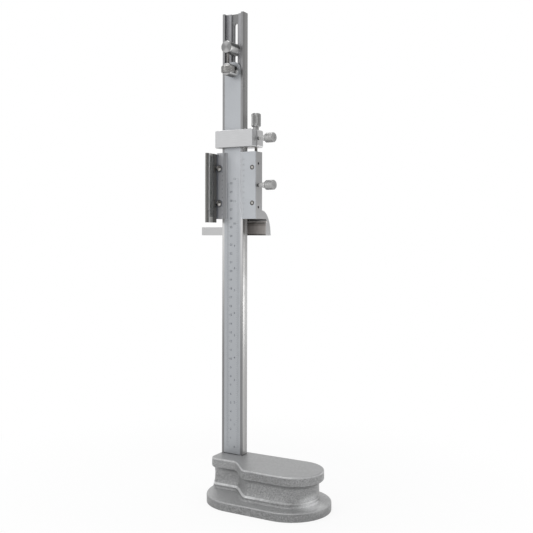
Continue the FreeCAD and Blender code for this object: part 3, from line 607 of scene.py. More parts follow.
class Finishes:
    """The finishes that several pieces share, each made once."""

    def __init__(self) -> None:
        """Makes them all."""
        self.stand()
        self.plates()
        self.turned()
        self.magnifier()
        self.ink = InkFinish().material()
        self.middle_ink = InkFinish("middle_fill", (0.1, 0.103, 0.11)).material()
        self.pale_ink = InkFinish("pale_fill", (0.2, 0.205, 0.215)).material()

    def stand(self) -> None:
        """The base, the column and the scale in it."""
        self.cast = CastFinish(
            "cast_base", skin=(0.295, 0.297, 0.299), ground=(0.325, 0.327, 0.33), ground_level=42.7 * MM,
            highlight_bands=((8.2, 8.7, FAR, 1.25), (13.4, 15.0, 115, 2.6), (41.4, 42.9, FAR, 1.9)),
            glow=(111 * MM, -24 * MM, 12 * MM), glow_size=(22 * MM, 22 * MM, 12 * MM),
            rim_level=8.4 * MM, step_level=9.7 * MM, table_level=34.5 * MM,
            table_shade=(40 * MM, 88 * MM, 25 * MM),
        ).material()
        self.column = ColumnFinish(
            "column_ground_steel", front=(0.22, 0.22, 0.223), front_sheen=(0.5, 0.5, 0.502),
            side_low=(0.405, 0.402, 0.396), side_high=(0.262, 0.26, 0.258), channel=(0.33, 0.33, 0.345),
            groove=(0.2, 0.2, 0.203), foot=(0.03, 0.028, 0.026), half_width=13.85 * MM,
            channel_depth=4.5 * MM, groove_depth=6.5 * MM, foot_level=43.2 * MM,
        ).material()
        self.scale = MetalFinish(
            "scale_satin_chrome", (0.4, 0.415, 0.435), metallic=0.7, roughness=0.42, tone=0.03,
            # Painted light: the plate lighter about these heights, where more light falls.
            patches=[Patch((0.46, 0.477, 0.5), z=(325, 372), soft=32)],
        ).material()

    def plates(self) -> None:
        """The slider, the carriage and the verniers."""
        # Painted light: the arm's front lighter, as it is well lit.
        arm = Patch((0.45, 0.45, 0.452), x=(-FAR, -19.7), z=(-FAR, 310.5))
        # Painted shade and dark reflection on the jaw's front face under the slider, with darker painted
        # shadow lines along its top, middle and bottom.
        recess = [
            Patch(tone, (-19.4, FAR), (19.6, 22.2), (low, high), 0.15)
            for tone, low, high in (
                ((0.2, 0.183, 0.17), 291.0, 310.6), ((0.3, 0.278, 0.264), 294.0, 303.0),
                ((0.07, 0.066, 0.062), 309.4, 310.6), ((0.07, 0.066, 0.062), 305.6, 306.5),
                ((0.06, 0.055, 0.052), 291.0, 293.0),
            )
        ]
        # Painted highlight: a bright line along the relief groove, bright enough to show through the shade
        # there.
        groove = Patch((0.95, 0.91, 0.87), (-19.4, FAR), (22.0, 24.3), (306.8, 308.3), 0.1)
        self.slider = MetalFinish(
            "slider_satin_steel", (0.36, 0.36, 0.363), roughness=0.36, tone=0.05,
            patches=[arm, *recess, groove],
        ).material()
        self.carriage = MetalFinish(
            "carriage_satin_steel", (0.455, 0.458, 0.465), roughness=0.38, grain=Grain.LEVEL, tone=0.16,
            # Painted shade: the right face darker than the front, as it is turned from the light.
            patches=[Patch((0.4, 0.4, 0.402), x=(30.8, FAR))],
        ).material()
        self.carriage_back = MetalFinish(
            "carriage_yoke_steel", (0.56, 0.56, 0.563), roughness=0.38, grain=Grain.LEVEL
        ).material()
        self.vernier = MetalFinish(
            "vernier_satin_chrome", (0.45, 0.467, 0.49), metallic=0.6, roughness=0.45, tone=0.03,
            # Painted light: the bevel lighter, so that it shows bright where it would reflect the dark.
            patches=[Patch((0.72, 0.74, 0.77), x=(-FAR, 14.3), metallic=0.3)],
        ).material()
        self.shaded = MetalFinish(
            "vernier_left_chrome", (0.44, 0.446, 0.464), metallic=0.35, roughness=0.45, tone=0.1,
            # Painted shade: the bevel darker, matching the magnifier's shade on the rest of the plate.
            patches=[Patch((0.27, 0.275, 0.285), x=(-10.9, -7.7))],
        ).material()

    def turned(self) -> None:
        """Screws, knobs and bushes, whose marks run no way in particular."""
        def round_metal(name: str, colour: Colour, size: float, **more: object) -> bpy.types.Material:
            """A finish with an even grain of this size in millimetres."""
            return MetalFinish(name, colour, grain=Grain.EVEN, grain_size=size * MM, **more).material()

        chrome = (0.37, 0.37, 0.367)
        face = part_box("slider_clamp_screw")[1].x / MM - 0.5
        thumb = [
            # Painted highlight on the neck, and painted shadow at the root where the neck enters its hole.
            Patch((0.62, 0.62, 0.615), x=(32.3, 40.3), metallic=0.2),
            Patch((0.05, 0.05, 0.05), x=(-FAR, 32.3), metallic=0.3),
            Patch(chrome, x=(face, FAR), metallic=0.4),
        ]
        self.screw = round_metal("screw_steel", (0.45, 0.45, 0.45), 0.4, roughness=0.28)
        self.thread = round_metal("thread_steel", (0.34, 0.33, 0.32), 0.3, roughness=0.3)
        self.brass = round_metal("brass", (0.72, 0.55, 0.28), 0.4, roughness=0.3)
        self.wheel = round_metal(
            "wheel_chrome", (0.275, 0.272, 0.266), 1.1, metallic=1.0, roughness=0.18, tone=0.45
        )
        self.knurled = round_metal("knurled_chrome", chrome, 0.5, metallic=1.0, roughness=0.22)
        self.thumb = round_metal(
            "thumbscrew_chrome", chrome, 0.5, metallic=1.0, roughness=0.22, patches=thumb
        )

    def magnifier(self) -> None:
        """The bracket, the frame with painted highlights along its edges, and the lens."""
        polish = {"roughness": 0.22, "tone": 0.25, "grain_size": 0.45 * MM}
        self.bracket = MetalFinish(
            "bracket_dark_steel", (0.2, 0.197, 0.188), **polish,
            patches=[Patch((0.2, 0.21, 0.235), (-21, FAR), (-5, FAR), metallic=0.1)],
        ).material()
        # Painted highlights: light strips along the frame's edges, brightest at the front.
        edges = (
            ((0.85, 0.84, 0.82), -20.6, -18.9), ((0.55, 0.545, 0.525), -18.9, -15.8),
            ((0.38, 0.376, 0.36), -15.8, -12.6),
        )
        self.frame = MetalFinish(
            "frame_dark_steel", (0.19, 0.187, 0.178), **polish,
            patches=[Patch(tone, y=(low, high), metallic=0.3) for tone, low, high in edges],
        ).material()
        self.lens = LensFinish().material()


def dress(node: str, material: bpy.types.Material) -> None:
    """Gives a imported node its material.

    Args:
        node: The node's name.
        material: What it is finished with.
    """
    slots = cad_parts[node].data.materials
    slots.clear()
    slots.append(material)


def linked(name: str, data: bpy.types.ID) -> bpy.types.Object:
    """Makes an object and puts it in the scene.

    Args:
        name: The object's name.
        data: What it shows.

    Returns:
        The object.
    """
    made = bpy.data.objects.new(name, data)
    bpy.context.scene.collection.objects.link(made)
    return made


def stored(name: str, mesh: Mesh) -> bpy.types.Mesh:
    """Keeps a mesh in the file.

    Args:
        name: Its name.
        mesh: The mesh, which is freed.

    Returns:
        The stored mesh.
    """
    data = bpy.data.meshes.new(name)
    mesh.to_mesh(data)
    mesh.free()
    return data


def moved(mesh: Mesh, place: Matrix) -> Mesh:
    """A mesh, moved to a place."""
    bmesh.ops.transform(mesh, verts=mesh.verts, matrix=place)
    return mesh


def turned(profile: Profile, steps: int) -> Mesh:
    """A piece turned about Z.

    Args:
        profile: (along, radius) points from one end of the axis to the other.
        steps: Faces around.

    Returns:
        The closed mesh.
    """
    mesh = bmesh.new()
    verts = [mesh.verts.new((radius, 0, along)) for along, radius in profile]
    edges = [mesh.edges.new(pair) for pair in zip(verts, verts[1:])]
    bmesh.ops.spin(
        mesh, geom=verts + edges, cent=(0, 0, 0), axis=(0, 0, 1), dvec=(0, 0, 0),
        angle=2 * math.pi, steps=steps, use_merge=True, use_duplicate=False,
    )
    bmesh.ops.remove_doubles(mesh, verts=mesh.verts, dist=1e-7)
    bmesh.ops.recalc_face_normals(mesh, faces=mesh.faces)
    return mesh


def run(start: float, end: float, radius: float, parts: int) -> list[Point]:
    """Points along a straight side of a profile, its end left out."""
    return [(start + (end - start) * i / parts, radius) for i in range(parts)]


def wave(value: float) -> float:
    """A zigzag that is 0 half way between whole numbers and 1 at them."""
    return abs(2 * (value % 1.0) - 1)


def narrow(vert: bmesh.types.BMVert, factor: float) -> None:
    """Moves a point nearer to the Z axis."""
    vert.co.x *= factor
    vert.co.y *= factor


@dataclass(frozen=True)
class Grip:
    """A knurled grip with chamfered ends, on a piece turned about Z."""

    start: float
    end: float
    radius: float
    edge: float = 1.0 * MM
    ridges: int = 32
    depth: float = 0.3 * MM
    knurl: Knurl = Knurl.DIAMOND
    parts: int = 28

    def outline(self) -> list[Point]:
        """Its outline, with the side in many runs for the knurl to shape.

        Returns:
            The (along, radius) points.
        """
        rim, end = self.radius - self.edge, self.end - self.edge
        side = run(self.start + self.edge, end, self.radius, self.parts)
        return [(self.start, rim), *side, (end, self.radius), (self.end, rim)]

    def roll(self, mesh: Mesh) -> Mesh:
        """Presses the knurl into a turned piece.

        Args:
            mesh: The piece.

        Returns:
            The same piece.
        """
        low, high = self.start + self.edge, self.end - self.edge
        pitch = 2 * math.pi * self.radius / self.ridges
        for vert in mesh.verts:
            reach = math.hypot(vert.co.x, vert.co.y)
            if not (low <= vert.co.z <= high and reach > self.radius * 0.99):
                continue
            turn = math.atan2(vert.co.y, vert.co.x) / (2 * math.pi) * self.ridges
            rise = (vert.co.z - low) / pitch
            crossed = self.knurl is Knurl.DIAMOND
            ridge = min(wave(turn + rise), wave(turn - rise)) if crossed else wave(turn)
            narrow(vert, 1 - self.depth * (1 - ridge) / reach)
        return mesh


def cut_thread(mesh: Mesh, low: float, high: float, radius: float, pitch: float) -> None:
    """Cuts a thread into the round side of a turned piece.

    Args:
        mesh: The piece, turned about Z.
        low: Where the thread starts.
        high: Where it ends.
        radius: The thread's outer radius.
        pitch: Its pitch.
    """
    for vert in mesh.verts:
        reach = math.hypot(vert.co.x, vert.co.y)
        if not (low <= vert.co.z <= high and abs(reach - radius) < 0.02 * radius):
            continue
        turn = math.atan2(vert.co.y, vert.co.x) / (2 * math.pi)
        narrow(vert, 1 - 0.6 * pitch * (1 - wave(vert.co.z / pitch - turn)) / reach)


def hexagonal(mesh: Mesh, radius: float, across: float) -> None:
    """Turns a round socket into a hexagonal one.

    Args:
        mesh: The piece, turned about Z with a round socket.
        radius: The socket's radius in the mesh.
        across: The size across its flats.
    """
    for vert in mesh.verts:
        reach = math.hypot(vert.co.x, vert.co.y)
        if abs(reach - radius) < 1e-6:
            angle = math.atan2(vert.co.y, vert.co.x) % (math.pi / 3) - math.pi / 6
            narrow(vert, across / 2 / math.cos(angle) / reach)


def kept_side(mesh: Mesh, point: Sequence[float], normal: Sequence[float]) -> None:
    """Cuts a closed mesh with a plane, keeps what lies behind it and closes the cut.

    Args:
        mesh: The mesh.
        point: A point on the plane.
        normal: The side that is cut away.
    """
    geometry = list(mesh.verts) + list(mesh.edges) + list(mesh.faces)
    bmesh.ops.bisect_plane(
        mesh, geom=geometry, dist=1e-8, plane_co=point, plane_no=normal, clear_outer=True, clear_inner=False
    )
    open_edges = [edge for edge in mesh.edges if edge.is_boundary]
    bmesh.ops.holes_fill(mesh, edges=open_edges, sides=0)


def gathered(parts: Iterable[Mesh]) -> Mesh:
    """Several meshes in one.

    Args:
        parts: The meshes, which are freed.

    Returns:
        The mesh that holds them all.
    """
    whole = bmesh.new()
    for part in parts:
        spare = stored("part", part)
        whole.from_mesh(spare)
        bpy.data.meshes.remove(spare)
    return whole


def slotted(profile: Profile, width: float, depth: float) -> Mesh:
    """A turned screw with a straight slot across its head.

    Args:
        profile: The plain screw's outline, its head's top at 0.
        width: The slot's width.
        depth: The slot's depth.

    Returns:
        The mesh.
    """
    floor = (0, 0, -depth)
    parts = [turned(profile, SCREW_STEPS)]
    kept_side(parts[0], floor, (0, 0, 1))
    for side in (-1, 1):
        half = turned(profile, SCREW_STEPS)
        kept_side(half, floor, (0, 0, -1))
        kept_side(half, (side * width / 2, 0, 0), (-side, 0, 0))
        parts.append(half)
    return gathered(parts)


def slotted_pair(profile: Profile, cut: Span, face: float, centres: Sequence[Point], turns: Span) -> Mesh:
    """Two slotted screws that face the front.

    Args:
        profile: The plain screw's outline, its head's top at 0.
        cut: Width and depth of the slot.
        face: Where the heads' tops are along Y.
        centres: Each screw's (x, z).
        turns: How far each screw is turned, in radians.

    Returns:
        The mesh.
    """
    parts = []
    for (x, z), turn in zip(centres, turns):
        place = Matrix.Translation((x, face, z)) @ Axis.FRONT.matrix() @ Matrix.Rotation(turn, 4, "Z")
        parts.append(moved(slotted(profile, *cut), place))
    return gathered(parts)


def bar(mesh: Mesh, size: Sequence[float], place: Matrix) -> None:
    """Adds a block of a size, with its middle at a place, to a mesh."""
    bmesh.ops.create_cube(mesh, size=1.0, matrix=place @ Matrix.Diagonal((*size, 1)))


def number(words: str, height: float, place: Sequence[float]) -> Mesh:
    """A number as a thin mesh that faces the front.

    Args:
        words: The number.
        height: Its height.
        place: Where its middle goes.

    Returns:
        The mesh.
    """
    curve = bpy.data.curves.new("number", "FONT")
    curve.body = words
    curve.size = height * 1.4
    curve.offset = height * 0.018
    curve.extrude = 0.012 * MM
    curve.resolution_u = 2
    holder = linked("number", curve)
    bpy.context.view_layer.update()
    flat = bpy.data.meshes.new_from_object(holder)
    bpy.data.objects.remove(holder)
    mesh = bmesh.new()
    mesh.from_mesh(flat)
    bpy.data.meshes.remove(flat)
    xs = [vert.co.x for vert in mesh.verts]
    ys = [vert.co.y for vert in mesh.verts]
    middle = Vector((-(min(xs) + max(xs)) / 2, -(min(ys) + max(ys)) / 2, 0))
    upright = Axis.FRONT.matrix() @ Matrix.Translation(middle)
    return moved(mesh, Matrix.Translation(place) @ upright)


def piece(
    name: str,
    mesh: Mesh,
    body: str,
    material: bpy.types.Material,
    replaced: Sequence[str] = (),
    place: Matrix | None = None,
) -> None:
    """Makes a finished object that rides on a body.

    Args:
        name: The object's name.
        mesh: Its shape, which is freed.
        body: The body that it rides on.
        material: Its finish.
        replaced: The nodes that it stands for.
        place: Where it goes, where the mesh isn't there yet.
    """
    if place is not None:
        moved(mesh, place)
    for face in mesh.faces:
        face.smooth = True
    for edge in mesh.edges:
        edge.smooth = edge.calc_face_angle(math.pi) < SMOOTH_ANGLE
    data = stored(name, mesh)
    data.materials.append(material)
    made = linked(name, data)
    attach(made, body)
    if replaced:
        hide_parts(*replaced)
    LOG.info("%s: %d faces on %s", name, len(data.polygons), body)


@dataclass(frozen=True)
class Lamp:
    """A soft box that hangs at a place and points at a target, with its power in watts."""

    name: str
    place: Triple
    target: Triple
    size: Span
    power: float

    def build(self) -> None:
        """Hangs the lamp."""
        data = bpy.data.lights.new(self.name, "AREA")
        data.shape = "RECTANGLE"
        data.size, data.size_y = self.size
        data.energy = self.power
        holder = linked(self.name, data)
        holder.location = self.place
        aim = Vector(self.target) - Vector(self.place)
        holder.rotation_euler = aim.to_track_quat("-Z", "Y").to_euler()


@dataclass
class Studio:
    """Camera, lamps, pale floor and white surroundings."""

    camera_place: Triple = (0.4723, -0.7635, 0.2925)
    azimuth: float = 29.26
    roll: float = -0.11
    focal_pixels: float = 787.5
    horizon_pixel: float = 234.95
    floor_size: float = 30.0
    floor_paint: Colour = (0.86, 0.86, 0.86)
    floor_white: float = 0.84
    shadow_reach: Span = (0.16, 0.42)
    room_span: Span = (-0.3, 0.8)
    room_light: Span = (0.5, 0.8)
    backdrop: Span = (0.55, 0.86)
    lamps: Sequence[Lamp] = (
        Lamp("front_box", (-0.9, -1.7, 0.75), (0.0, 0.0, 0.25), (1.6, 1.1), 5.0),
        Lamp("rear_box", (0.8, 1.35, 0.1), (0.0, 0.0, 0.2), (0.5, 0.22), 1.15),
        Lamp("top_box", (-0.15, -0.15, 1.5), (0.0, 0.0, 0.1), (1.3, 0.4), 6.6),
    )

    def build(self) -> None:
        """Makes everything around the object."""
        self.camera()
        self.surroundings()
        for lamp in self.lamps:
            lamp.build()
        self.floor()
        bpy.context.scene.view_settings.view_transform = "Standard"

    def camera(self) -> None:
        """Puts the camera where the photograph was taken from."""
        data = bpy.data.cameras.new("camera")
        data.sensor_width = 36.0
        data.lens = self.focal_pixels / PHOTO_PIXELS * data.sensor_width
        data.shift_y = (self.horizon_pixel - PHOTO_PIXELS / 2) / PHOTO_PIXELS
        data.clip_start = 0.01
        holder = linked("camera", data)
        holder.location = self.camera_place
        holder.rotation_euler = (math.pi / 2, math.radians(self.roll), math.radians(self.azimuth))
        bpy.context.scene.camera = holder

    def shown(self, nodes: Nodes) -> Socket:
        """1 for a ray from the camera, off metal or through glass, and 0 for one that only lights.

        Args:
            nodes: The tree that it goes into.

        Returns:
            The value.
        """
        rays = nodes.add("ShaderNodeLightPath").outputs
        seen = nodes.maths("MAXIMUM", rays["Is Camera Ray"], rays["Is Glossy Ray"])
        return nodes.maths("MAXIMUM", seen, rays["Is Transmission Ray"])

    def surroundings(self) -> None:
        """Makes the world: a white backdrop behind the object and a grey room around it."""
        world = bpy.data.worlds.new("surroundings")
        bpy.context.scene.world = world
        world.use_nodes = True
        nodes = Nodes(world.node_tree)
        direction = nodes.add("ShaderNodeTexCoord").outputs["Generated"]
        room = nodes.ramp(nodes.split(direction)[2], *self.room_span, *self.room_light)
        turn = math.radians(self.azimuth)
        forwards = (-math.sin(turn), math.cos(turn), 0)
        ahead = nodes.add("ShaderNodeVectorMath", {0: direction, 1: forwards}, operation="DOT_PRODUCT")
        behind = nodes.ramp(ahead.outputs["Value"], *self.backdrop)
        camera = nodes.add("ShaderNodeLightPath").outputs["Is Camera Ray"]
        level = nodes.share(nodes.maths("MAXIMUM", camera, behind), room, 1.0)
        lit, seen = (nodes.add("ShaderNodeBackground", {"Color": light}) for light in (room, level))
        nodes.either("ShaderNodeOutputWorld", self.shown(nodes), lit, seen)

    def floor(self) -> None:
        """Lays the pale floor, which keeps the object's shadow and turns white away from it."""
        mesh = bmesh.new()
        bmesh.ops.create_circle(mesh, cap_ends=True, segments=64, radius=self.floor_size)
        data = stored("floor", mesh)
        made = bpy.data.materials.new("pale_floor")
        made.use_nodes = True
        nodes = Nodes(made.node_tree)
        paint = nodes.add("ShaderNodeBsdfDiffuse", {"Color": (*self.floor_paint, 1)})
        away = nodes.length(nodes.place())
        whiter = nodes.ramp(away, *self.shadow_reach, self.floor_white, 1.0)
        share = nodes.maths("MULTIPLY", self.shown(nodes), whiter)
        nodes.either("ShaderNodeOutputMaterial", share, paint, nodes.add("ShaderNodeEmission"))
        data.materials.append(made)
        linked("floor", data)


@dataclass
class CapScrews:
    """Cap screws that point back, at both ends of their node's box and above each other by a spread."""

    finishes: Finishes
    name: str
    node: str
    body: str
    radius: float
    head_radius: float
    head_height: float
    socket: float
    spread: float = 0.0

    def build(self) -> None:
        """Makes the screws as one piece."""
        low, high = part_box(self.node)
        middle = (low.z + high.z) / 2
        levels = (middle - self.spread, middle + self.spread) if self.spread else (middle,)
        parts = [
            moved(
                self.screw(high.y - low.y - self.head_height),
                Matrix.Translation((x, high.y, level)) @ Axis.BACK.matrix(),
            )
            for x in (low.x + self.head_radius, high.x - self.head_radius)
            for level in levels
        ]
        piece(self.name, gathered(parts), self.body, self.finishes.screw, [self.node])

    def screw(self, length: float) -> Mesh:
        """One screw with a hexagonal socket, its head's top at the origin and its shank below.

        Args:
            length: Length of the shank.

        Returns:
            The mesh.
        """
        head, wide = self.head_height, self.head_radius
        edge = wide * 0.09
        hole = self.socket * 0.53
        mesh = turned([
            (-head - length, 0), (-head - length, self.radius), (-head, self.radius), (-head, wide),
            (-edge, wide), (0, wide - edge), (0, hole * 1.08), (-edge * 0.7, hole),
            (-head * 0.6, hole), (-head * 0.6, 0),
        ], 48)
        hexagonal(mesh, hole, self.socket)
        return mesh


@dataclass
class Stand:
    """The cast base, the column and the screws that join them."""

    finishes: Finishes

    def build(self) -> None:
        """Makes the screws."""
        CapScrews(
            self.finishes, "column_cap_screws", "column_screws", "stand", radius=2.0 * MM,
            head_radius=3.5 * MM, head_height=4.0 * MM, socket=3.0 * MM,
        ).build()

    def dress(self) -> None:
        """Finishes the base and the column."""
        dress("base_casting", self.finishes.cast)
        dress("column_beam", self.finishes.column)


@dataclass(frozen=True)
class Row:
    """A row of lines that start on one edge, with how often a long and a middling one come."""

    steps: int
    pitch: float
    long: int
    middling: int
    lengths: Triple
    edge: float
    side: int
    numbers: Iterable[int]
    number_pitch: float
    number_x: float


@dataclass
class MainScale:
    """The scale plate in the column, graduated in millimetres and inches."""

    finishes: Finishes
    zero: float = 51.4 * MM
    line_width: float = 0.16 * MM
    number_height: float = 2.5 * MM
    rows: Sequence[Row] = (
        Row(
            steps=300, pitch=MM, long=10, middling=5, lengths=(4.6 * MM, 3.6 * MM, 2.5 * MM),
            edge=-7.3 * MM, side=1, numbers=range(1, 31), number_pitch=10 * MM, number_x=-1.7 * MM,
        ),
        Row(
            steps=240, pitch=INCH / 20, long=20, middling=2, lengths=(4.6 * MM, 3.5 * MM, 2.4 * MM),
            edge=8.9 * MM, side=-1, numbers=range(13), number_pitch=INCH, number_x=2.9 * MM,
        ),
    )

    def build(self) -> None:
        """Engraves the plate."""
        marks = bmesh.new()
        numbers = []
        for row in self.rows:
            for step in range(row.steps + 1):
                length = row.lengths[0 if step % row.long == 0 else 1 if step % row.middling == 0 else 2]
                spot = (row.edge + row.side * length / 2, 0, self.zero + step * row.pitch)
                bar(marks, (length, INK_DEPTH, self.line_width), Matrix.Translation(spot))
            for step in row.numbers:
                spot = (row.number_x, 0, self.zero + step * row.number_pitch)
                numbers.append(number(str(step), self.number_height, spot))
        piece("main_scale_lines", marks, "main_scale", self.finishes.ink)
        piece("main_scale_numbers", gathered(numbers), "main_scale", self.finishes.ink)

    def dress(self) -> None:
        """Finishes the plate."""
        dress("main_scale", self.finishes.scale)


@dataclass
class ScaleAdjuster:
    """The two posts on the column's top, the threaded rod between them and its knurled wheel."""

    finishes: Finishes
    rod_y: float = -10.0 * MM
    rod_radius: float = 1.5 * MM
    rod_pitch: float = 0.5 * MM
    wheel_radius: float = 7.75 * MM
    wheel_edge: float = 0.8 * MM
    wheel_ridges: int = 44
    wheel_knurl: float = 0.32 * MM
    play: float = 0.04 * MM
    clamp_radius: float = 5.5 * MM
    clamp_head: float = 7.0 * MM
    clamp_shank: float = 2.0 * MM
    bright: Colour = (0.27, 0.27, 0.27)
    # The colour of the painted highlight on the posts' round sides.
    lit: Colour = (0.8, 0.8, 0.795)

    def build(self) -> None:
        """Makes the wheel, the rod and the clamp screw."""
        self.wheel()
        self.rod()
        self.clamp()

    def wheel(self) -> None:
        """The knurled wheel, open for its rod."""
        low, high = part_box("scale_wheel")
        bore = self.rod_radius + self.play
        grip = Grip(low.z, high.z, self.wheel_radius, self.wheel_edge, self.wheel_ridges, self.wheel_knurl)
        mesh = grip.roll(turned([(low.z, bore), *grip.outline(), (high.z, bore), (low.z, bore)], 176))
        place = Matrix.Translation((0, self.rod_y, 0))
        piece(
            "knurled_wheel", mesh, "scale_wheel", self.finishes.wheel, ["scale_wheel"], place
        )

    def rod(self) -> None:
        """The threaded rod."""
        low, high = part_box("scale_rod")
        radius = self.rod_radius
        runs = int((high.z - low.z) / self.rod_pitch * 4)
        side = run(low.z, high.z, radius, runs)
        mesh = turned([(low.z, 0), *side, (high.z, radius), (high.z, 0)], 24)
        cut_thread(mesh, low.z, high.z, radius, self.rod_pitch)
        place = Matrix.Translation((0, self.rod_y, 0))
        piece("threaded_rod", mesh, "anchor", self.finishes.thread, ["scale_rod"], place)

    def clamp(self) -> None:
        """The thumbscrew behind the column."""
        low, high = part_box("anchor_clamp_screw")
        shank = self.clamp_shank
        seat = high.y - self.clamp_head
        grip = Grip(seat, high.y, self.clamp_radius, parts=20)
        outline = [(low.y, 0), (low.y, shank), (seat, shank), *grip.outline(), (high.y, 0)]
        mesh = grip.roll(turned(outline, 128))
        place = Matrix.Translation((0, 0, (low.z + high.z) / 2)) @ Axis.BACK.matrix()
        piece(
            "anchor_thumbscrew", mesh, "anchor_clamp", self.finishes.knurled,
            ["anchor_clamp_screw"], place,
        )

    def dress(self) -> None:
        """Finishes the posts with rings about their own middles."""
        for node in ("scale_post", "anchor_post"):
            low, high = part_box(node)
            centre = ((low.x + high.x) / 2, low.y, (low.z + high.z) / 2)
            radius = (high.x - low.x) / 2
            dress(node, TurnedFinish(node + "_turned", self.bright, self.lit, centre, radius).material())


@dataclass
class Thumbscrew:
    """A knurled clamp screw that points to the right, its neck a taper with a collar."""

    finishes: Finishes
    node: str
    body: str
    neck: float = 9.7 * MM
    head: float = 11.2 * MM
    shank: float = 2.0 * MM
    collar: float = 3.6 * MM
    radius: float = 5.6 * MM
    dimple: float = 0.35 * MM

    def build(self) -> None:
        """Makes the screw where its node is."""
        low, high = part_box(self.node)
        end = self.neck + self.head
        face = high.x - self.neck - self.head
        tip = face - low.x
        grip = Grip(self.neck, end, self.radius)
        mesh = grip.roll(turned([
            (-tip, 0), (-tip, self.shank), (0.3 * MM, self.shank), (0.8 * MM, self.shank * 0.86),
            (self.neck - 2.4 * MM, self.collar * 0.93), (self.neck - 2.0 * MM, self.collar),
            (self.neck, self.collar), *grip.outline(), (end, self.radius * 0.34),
            (end - self.dimple, self.radius * 0.28), (end - self.dimple, 0),
        ], 128))
        middle = (low.y + high.y) / 2, (low.z + high.z) / 2
        piece(
            self.node.replace("screw", "thumbscrew"), mesh, self.body, self.finishes.thumb,
            [self.node], Matrix.Translation((face, *middle)) @ Axis.RIGHT.matrix(),
        )


@dataclass
class Carriage:
    """The clamp above the slider: a front bar, a rear yoke and their screws."""

    finishes: Finishes

    def build(self) -> None:
        """Makes the cap screws and the thumbscrew."""
        CapScrews(
            self.finishes, "carriage_cap_screws", "carriage_screws", "carriage", radius=1.25 * MM,
            head_radius=2.0 * MM, head_height=2.5 * MM, socket=1.9 * MM, spread=5.5 * MM,
        ).build()
        Thumbscrew(self.finishes, "carriage_clamp_screw", "carriage_clamp").build()

    def dress(self) -> None:
        """Finishes the two halves and the pad."""
        dress("carriage_front", self.finishes.carriage)
        dress("carriage_rear", self.finishes.carriage_back)
        dress("carriage_press_pad", self.finishes.brass)


@dataclass
class FineScrew:
    """The screw with a knurled knob that draws the slider to the carriage."""

    finishes: Finishes
    radius: float = 1.75 * MM
    neck_radius: float = 3.2 * MM
    neck: float = 3.45 * MM
    collar_radius: float = 2.8 * MM
    collar: float = 1.6 * MM
    knob_height: float = 15.4 * MM
    knob_radius: float = 5.35 * MM
    knob_ridges: int = 36
    knurl_depth: float = 0.34 * MM
    dimple: float = 0.3 * MM
    pitch: float = 0.5 * MM

    def build(self) -> None:
        """Makes the threaded stem and the knob."""
        low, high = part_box("fine_screw")
        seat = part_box("carriage_rear")[0].z
        middle = Matrix.Translation(((low.x + high.x) / 2, (low.y + high.y) / 2, 0))
        base = high.z - self.knob_height
        foot = base - self.neck
        radius, thin = self.knob_radius, self.radius
        collar_top = seat + self.collar
        threads = int((seat - low.z) / self.pitch * 4)
        stem = turned([
            (low.z, 0), *run(low.z, seat - 0.2 * MM, thin, threads), (seat, thin),
            (seat, self.collar_radius), (collar_top, self.collar_radius), (collar_top, thin),
            (foot, thin), (foot, 0),
        ], 24)
        cut_thread(stem, low.z, seat - 0.3 * MM, thin, self.pitch)
        piece(
            "fine_screw_stem", stem, "fine_screw", self.finishes.thread, ["fine_screw"],
            middle,
        )
        grip = Grip(
            base, high.z, radius, ridges=self.knob_ridges, depth=self.knurl_depth, knurl=Knurl.STRAIGHT,
            parts=8,
        )
        knob = grip.roll(turned([
            (foot, 0), (foot, self.neck_radius), (base - 0.5 * MM, self.neck_radius),
            (base, self.neck_radius + 0.5 * MM), *grip.outline(),
            (high.z, radius * 0.4), (high.z - self.dimple, radius * 0.34), (high.z - self.dimple, 0),
        ], 144))
        piece("fine_screw_knob", knob, "fine_screw", self.finishes.knurled, (), middle)

    def dress(self) -> None:
        """Finishes the bush that the screw turns in."""
        dress("fine_nut", self.finishes.brass)


